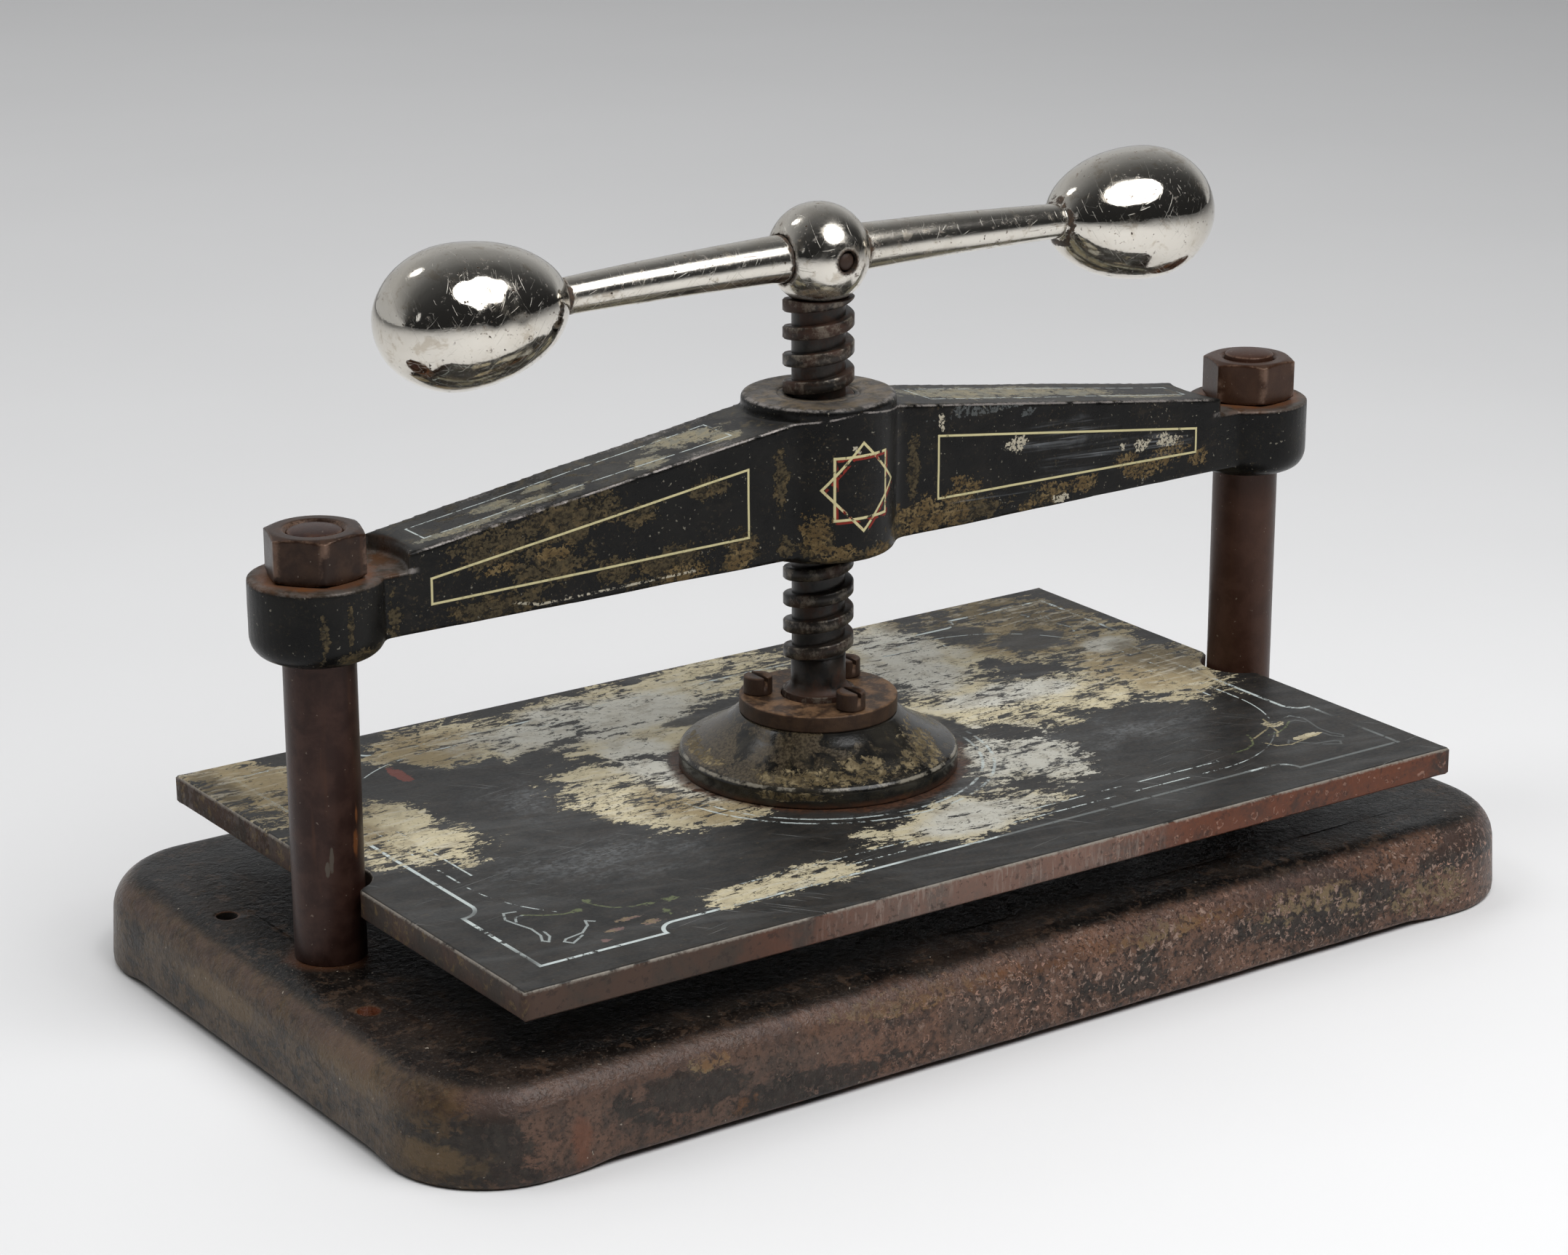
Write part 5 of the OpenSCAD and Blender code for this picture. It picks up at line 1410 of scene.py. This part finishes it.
def make_platen():
    """Flat plate with worn edges."""
    body = plate("platen_plate", platen_outline(), PLATEN_Z, PLATEN_TOP_Z, 0.9)
    for vertex in body.data.vertices:
        spot = vertex.co / MM
        nick = 0.22 * noise.noise(spot / 6) + 0.14 * noise.noise(spot / 2.5)
        vertex.co += Vector((-spot.x / PLATEN_L, -spot.y / PLATEN_W, 0)) * abs(nick) * MM
    return dress(flat_normals(body), "platen", ["platen"], "platen_iron")


def make_socket():
    """Bell-shaped socket with an upright lip."""
    z = PLATEN_TOP_Z
    recess_z, recess_r = FLANGE_Z - RUNNING_GAP, FLANGE_R + RUNNING_GAP
    outline = [(0, z), (SOCKET_R, z), (SOCKET_R, z + LIP_H - 1.6), (SOCKET_R - 1.2, z + LIP_H)]
    outline += [(r, z + rise) for r, rise in SOCKET_CONE]
    outline += [(SOCKET_TOP_R, z + SOCKET_H), (recess_r, z + SOCKET_H), (recess_r, recess_z), (0, recess_z)]
    bell = flat_normals(lathe("socket_bell", rounded(outline, 0.9), 128))
    return dress(bell, "platen", ["screw_socket"], "socket_iron")


def make_plate():
    """Retaining plate round the collar."""
    bore = COLLAR_R + RUNNING_GAP
    outline = [(bore, PLATE_Z), (PLATE_R, PLATE_Z), (PLATE_R, PLATE_TOP_Z), (bore, PLATE_TOP_Z)]
    ring = lathe("retaining_ring", rounded(outline, 0.8, closed=True), 128, closed=True)
    return dress(flat_normals(ring), "platen", ["retaining_plate"], "plate_steel")


def make_retaining_screw(node, index):
    """Slotted cheese-head screw."""
    half, reach, slot_depth = 0.7, 8, 1.8
    z, shank_z = PLATE_TOP_Z, PLATE_Z - SHANK_DEPTH
    head_z = z + HEAD_H
    outline = [(0, shank_z), (SHANK_R, shank_z), (SHANK_R, z), (HEAD_R, z), (HEAD_R, head_z), (0, head_z)]
    screw = lathe(node + "_turned", rounded(outline, 0.7), 64)
    box = [(-half, -reach), (half, -reach), (half, reach), (-half, reach)]
    cut(screw, plate("slot", box, head_z - slot_depth, head_z + 3, 0.1))
    angle = math.radians(SCREW_ANGLE + 120 * index)
    place(screw, Matrix.Translation((SCREW_CIRCLE_R * math.cos(angle), SCREW_CIRCLE_R * math.sin(angle), 0)))
    return dress(flat_normals(screw), "platen", [node], "fastener_steel")


# Screw and handle

def make_screw():
    """Flanged foot, hollow-curved collar, neck and square thread."""
    collar_top = PLATE_TOP_Z + 1.2
    curve = 4.5
    flare = [(COLLAR_R, collar_top + 0.6)]
    flare += [(NECK_R + curve - curve * math.cos(a), collar_top + curve - curve * math.sin(a))
              for a in (math.radians(60 - 60 * k / 8) for k in range(9))]
    flange_top = FLANGE_Z + FLANGE_T
    outline = [(0, FLANGE_Z), (FLANGE_R, FLANGE_Z), (FLANGE_R, flange_top), (COLLAR_R, flange_top)]
    outline = rounded(outline + flare[:1], 0.3) + flare[1:] + [(NECK_R, THREAD_Z), (0, THREAD_Z)]
    foot = flat_normals(lathe("screw_foot", outline))
    thread = helix("screw_thread", ROOT_R, SCREW_R, RIDGE, THREAD_Z, THREAD_TOP_Z, edge=0.6)
    spigot = rod("screw_end", 8.0, THREAD_TOP_Z - 2, HUB_Z - BAR_MID_R - 0.3)
    screw = merge("threaded_screw", foot, thread, spigot)
    return dress(screw, "screw", ["press_screw"], "screw_steel")


def make_hub():
    """Round hub with a flat foot and bores for bar and pin."""
    low = -math.asin((HUB_R - HUB_FLAT) / HUB_R)
    steps = 56
    angles = [low + (math.pi / 2 - low) * k / steps for k in range(steps)]
    outline = [(0, HUB_Z - HUB_R + HUB_FLAT)]
    outline += [(HUB_R * math.cos(a), HUB_Z + HUB_R * math.sin(a)) for a in angles]
    hub = lathe("hub_ball", outline + [(0, HUB_Z + HUB_R)], 112)
    ruffle(hub, *HUB_SKIN)
    along_x = Matrix.Translation((0, 0, HUB_Z)) @ Matrix.Rotation(math.pi / 2, 4, "Y")
    along_y = Matrix.Translation((0, 0, HUB_Z)) @ Matrix.Rotation(math.pi / 2, 4, "X")
    cut(hub, place(rod("bar_bore", BAR_MID_R + 0.25, -30, 30, 64), along_x),
        place(rod("pin_bore", PIN_R + 0.5, -30, 30), along_y))
    return dress(flat_normals(hub), "screw", ["handle_hub"], "nickel")


def bar_past(x):
    return max(0.0, x - BAR_STRAIGHT)


def bar_drop(x):
    return BAR_BOW * (bar_past(x) / (BALL_REACH - BAR_STRAIGHT)) ** 2


def bar_tilt(x):
    return math.atan(2 * BAR_BOW * bar_past(x) / (BALL_REACH - BAR_STRAIGHT) ** 2)


def make_bar():
    """Tapered bar that droops a little to both ends."""
    sides, count = 56, 64
    stations = [(NECK_X + 3) * (2 * k / count - 1) for k in range(count + 1)]
    points, rings = [], []
    for s in stations:
        x = abs(s)
        r = BAR_MID_R + (BAR_END_R - BAR_MID_R) * bar_past(x) / (NECK_X - BAR_STRAIGHT)
        rings.append(list(range(len(points), len(points) + sides)))
        for k in range(sides):
            a = 2 * math.pi * k / sides
            up = r * math.sin(a)
            points.append((math.copysign(1, s) * (x + up * math.sin(bar_tilt(x))), r * math.cos(a),
                           HUB_Z + up * math.cos(bar_tilt(x)) - bar_drop(x)))
    bar = new_object("handle_rod", points, bridge_rings(rings) + [tuple(rings[0][::-1]), tuple(rings[-1])])
    ruffle(bar, *BAR_SKIN)
    return dress(flat_normals(bar), "screw", ["handle_bar"], "nickel")


# Dents in the balls: middle, radius and depth
BALL_DENTS = [
    (-148, -21, 267, 5.0, 0.45), (-154, -22, 263, 4.2, 0.40), (-142, -22, 264, 4.4, 0.36),
    (-150, -24, 259, 4.6, 0.40), (-159, -20, 268, 4.0, 0.34), (-145, -17, 271, 4.0, 0.26),
    (-156, -16, 272, 3.6, 0.22), (-139, -24, 257, 3.4, 0.24), (136, -18, 266, 4.0, 0.26),
    (142, -20, 263, 3.6, 0.24), (130, -17, 264, 3.4, 0.20), (146, -17, 270, 3.4, 0.16),
]


def make_ball(node, side):
    """Pear-shaped ball with a short neck, dented here and there."""
    rim = BAR_END_R + 0.3
    first = math.asin(rim / BALL_R)
    inner = [(BALL_R * math.sin(t), BALL_NECK - BALL_INNER * math.cos(t))
             for t in (first + (math.pi / 2 - first) * k / 40 for k in range(40))]
    outer = [(BALL_R * math.cos(t), BALL_NECK + BALL_OUTER * math.sin(t)) for t in quarter(36)]
    start = inner[0][1]
    neck = [(BAR_END_R - 0.3, start - 0.5), (rim - 0.2, start - 0.5), (rim, start - 0.3)]
    outline = [(0, start + 1)] + neck + inner + outer + [(0, BALL_NECK + BALL_OUTER)]
    ball = lathe(node + "_turned", outline, 128)
    x = NECK_X
    turn = Matrix.Rotation(math.pi / 2 + bar_tilt(x), 4, "Y")
    if side < 0:
        turn = Matrix.Rotation(math.pi, 4, "Z") @ turn
    place(ball, Matrix.Translation((side * x, 0, HUB_Z - bar_drop(x))) @ turn)
    ruffle(ball, *BALL_SKIN)
    dent(ball, BALL_DENTS)
    return dress(ball, "screw", [node], "nickel")


def make_pin():
    """Dark cross pin with domed ends, a little below the hub's skin."""
    reach, r, dome = HUB_R - 0.6, PIN_R - 0.15, 1.6
    crown = [(r * math.cos(a), reach - dome + dome * math.sin(a)) for a in quarter(6)]
    outline = [(0, -reach)] + [(r, -z) for r, z in crown[::-1]] + crown + [(0, reach)]
    pin = lathe("cross_pin", outline, 40)
    place(pin, Matrix.Translation((0, 0, HUB_Z)) @ Matrix.Rotation(math.pi / 2, 4, "X"))
    return dress(pin, "screw", ["hub_pin"], "pin_steel")


make_base()
make_column("left_column_turned", -1, 0.5)
make_column("right_column_turned", 1, 2.5)
make_bridge()
for nut_node in ("left_top_nut", "right_top_nut", "left_base_nut", "right_base_nut"):
    make_nut(nut_node)
make_platen()
make_socket()
make_plate()
for screw_index, screw_node in enumerate(RETAINING_SCREWS):
    make_retaining_screw(screw_node, screw_index)
make_screw()
make_hub()
make_bar()
make_ball("left_ball", -1)
make_ball("right_ball", 1)
make_pin()

# The countersunk screws below the platen keep their solid
hidden_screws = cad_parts["socket_screws"].data.materials
hidden_screws.clear()
hidden_screws.append(FINISHES["fastener_steel"])


# Studio

def make_floor():
    """A wide round sheet, level with the base's feet."""
    rim = arc(0, 0, FLOOR_R, 0, 360, 96)[:-1]
    floor = new_object("floor", [(x, y, 0) for x, y in rim], [tuple(range(len(rim)))])
    floor.data.materials.append(floor_finish())


def soft_lamp(name, spot, target, width, height, power, mirrored=True, lights=True):
    """An oval lamp that faces target, in metres and watts; it may light only, or be mirrored only."""
    lamp = bpy.data.lights.new(name, "AREA")
    lamp.shape = "ELLIPSE"
    lamp.size, lamp.size_y = width, height
    lamp.energy = power
    obj = in_scene(name, lamp)
    obj.location = spot
    obj.rotation_euler = (Vector(target) - Vector(spot)).to_track_quat("-Z", "Y").to_euler()
    obj.visible_glossy = mirrored
    obj.visible_diffuse = lights


# Brightness of the surroundings from behind, over the top, to the front, by angle in degrees
ROOM = [
    (0, 0.50), (32, 0.52), (48, 0.38), (66, 0.27), (84, 0.14), (100, 0.07), (120, 0.04),
    (150, 0.025), (180, 0.02),
]
ROOM_TINT = (1.0, 1.01, 1.02)


def make_world():
    """Dim surroundings: dark in front of the press, grey light behind it."""
    world = bpy.data.worlds.new("room")
    bpy.context.scene.world = world
    world.use_nodes = True
    sky = Nodes(world.node_tree)
    _, back, up = sky.parts(sky.node("ShaderNodeTexCoord", out="Generated"))
    turn = sky.node("ShaderNodeMath", {"operation": "ARCTAN2"}, {0: abs(up), 1: back})
    stops = [(angle / 180, [grey * tint for tint in ROOM_TINT]) for angle, grey in ROOM]
    light = sky.node("ShaderNodeValToRGB", {"stops": stops}, {0: turn / math.pi})
    sky.node("ShaderNodeOutputWorld", {}, {0: sky.node("ShaderNodeBackground", {}, {0: light})})


def make_camera():
    """The photograph's view: a long lens, turned to the left end and looking down."""
    lens, yaw, pitch, roll = 89.86, -34.76, 17.88, -0.12
    spot = (-0.79913, -1.12918, 0.5620)
    data = bpy.data.cameras.new("camera")
    data.sensor_width = 36.0
    data.lens = lens
    data.clip_start, data.clip_end = 0.05, 60
    camera = in_scene("camera", data)
    turn = Matrix.Rotation(math.radians(yaw), 4, "Z") @ Matrix.Rotation(math.radians(90 - pitch), 4, "X")
    turn = turn @ Matrix.Rotation(math.radians(roll), 4, "Z")
    camera.matrix_world = Matrix.Translation(spot) @ turn
    bpy.context.scene.camera = camera


make_floor()
middle = (0, 0, 0.15)
soft_lamp("key", (0.20, -0.72, 1.08), (0, 0, 0.24), 1.0, 0.90, 8.5)
soft_lamp("glint", (-0.45, 0.70, 1.30), middle, 0.26, 0.34, 0.55, lights=False)
soft_lamp("pane", (-1.33, -0.46, 0.65), middle, 0.10, 0.30, 0.06, lights=False)
soft_lamp("fill", (-0.19, -1.20, 2.38), middle, 2.0, 1.6, 32, mirrored=False)
soft_lamp("side", (-1.3, 0.75, 2.2), middle, 1.1, 1.1, 14, mirrored=False)
soft_lamp("back", (0.4, 1.9, 2.7), (0, 1.2, 0), 2.4, 2.0, 20, mirrored=False)
make_world()
make_camera()
bpy.context.scene.view_settings.view_transform = "Standard"
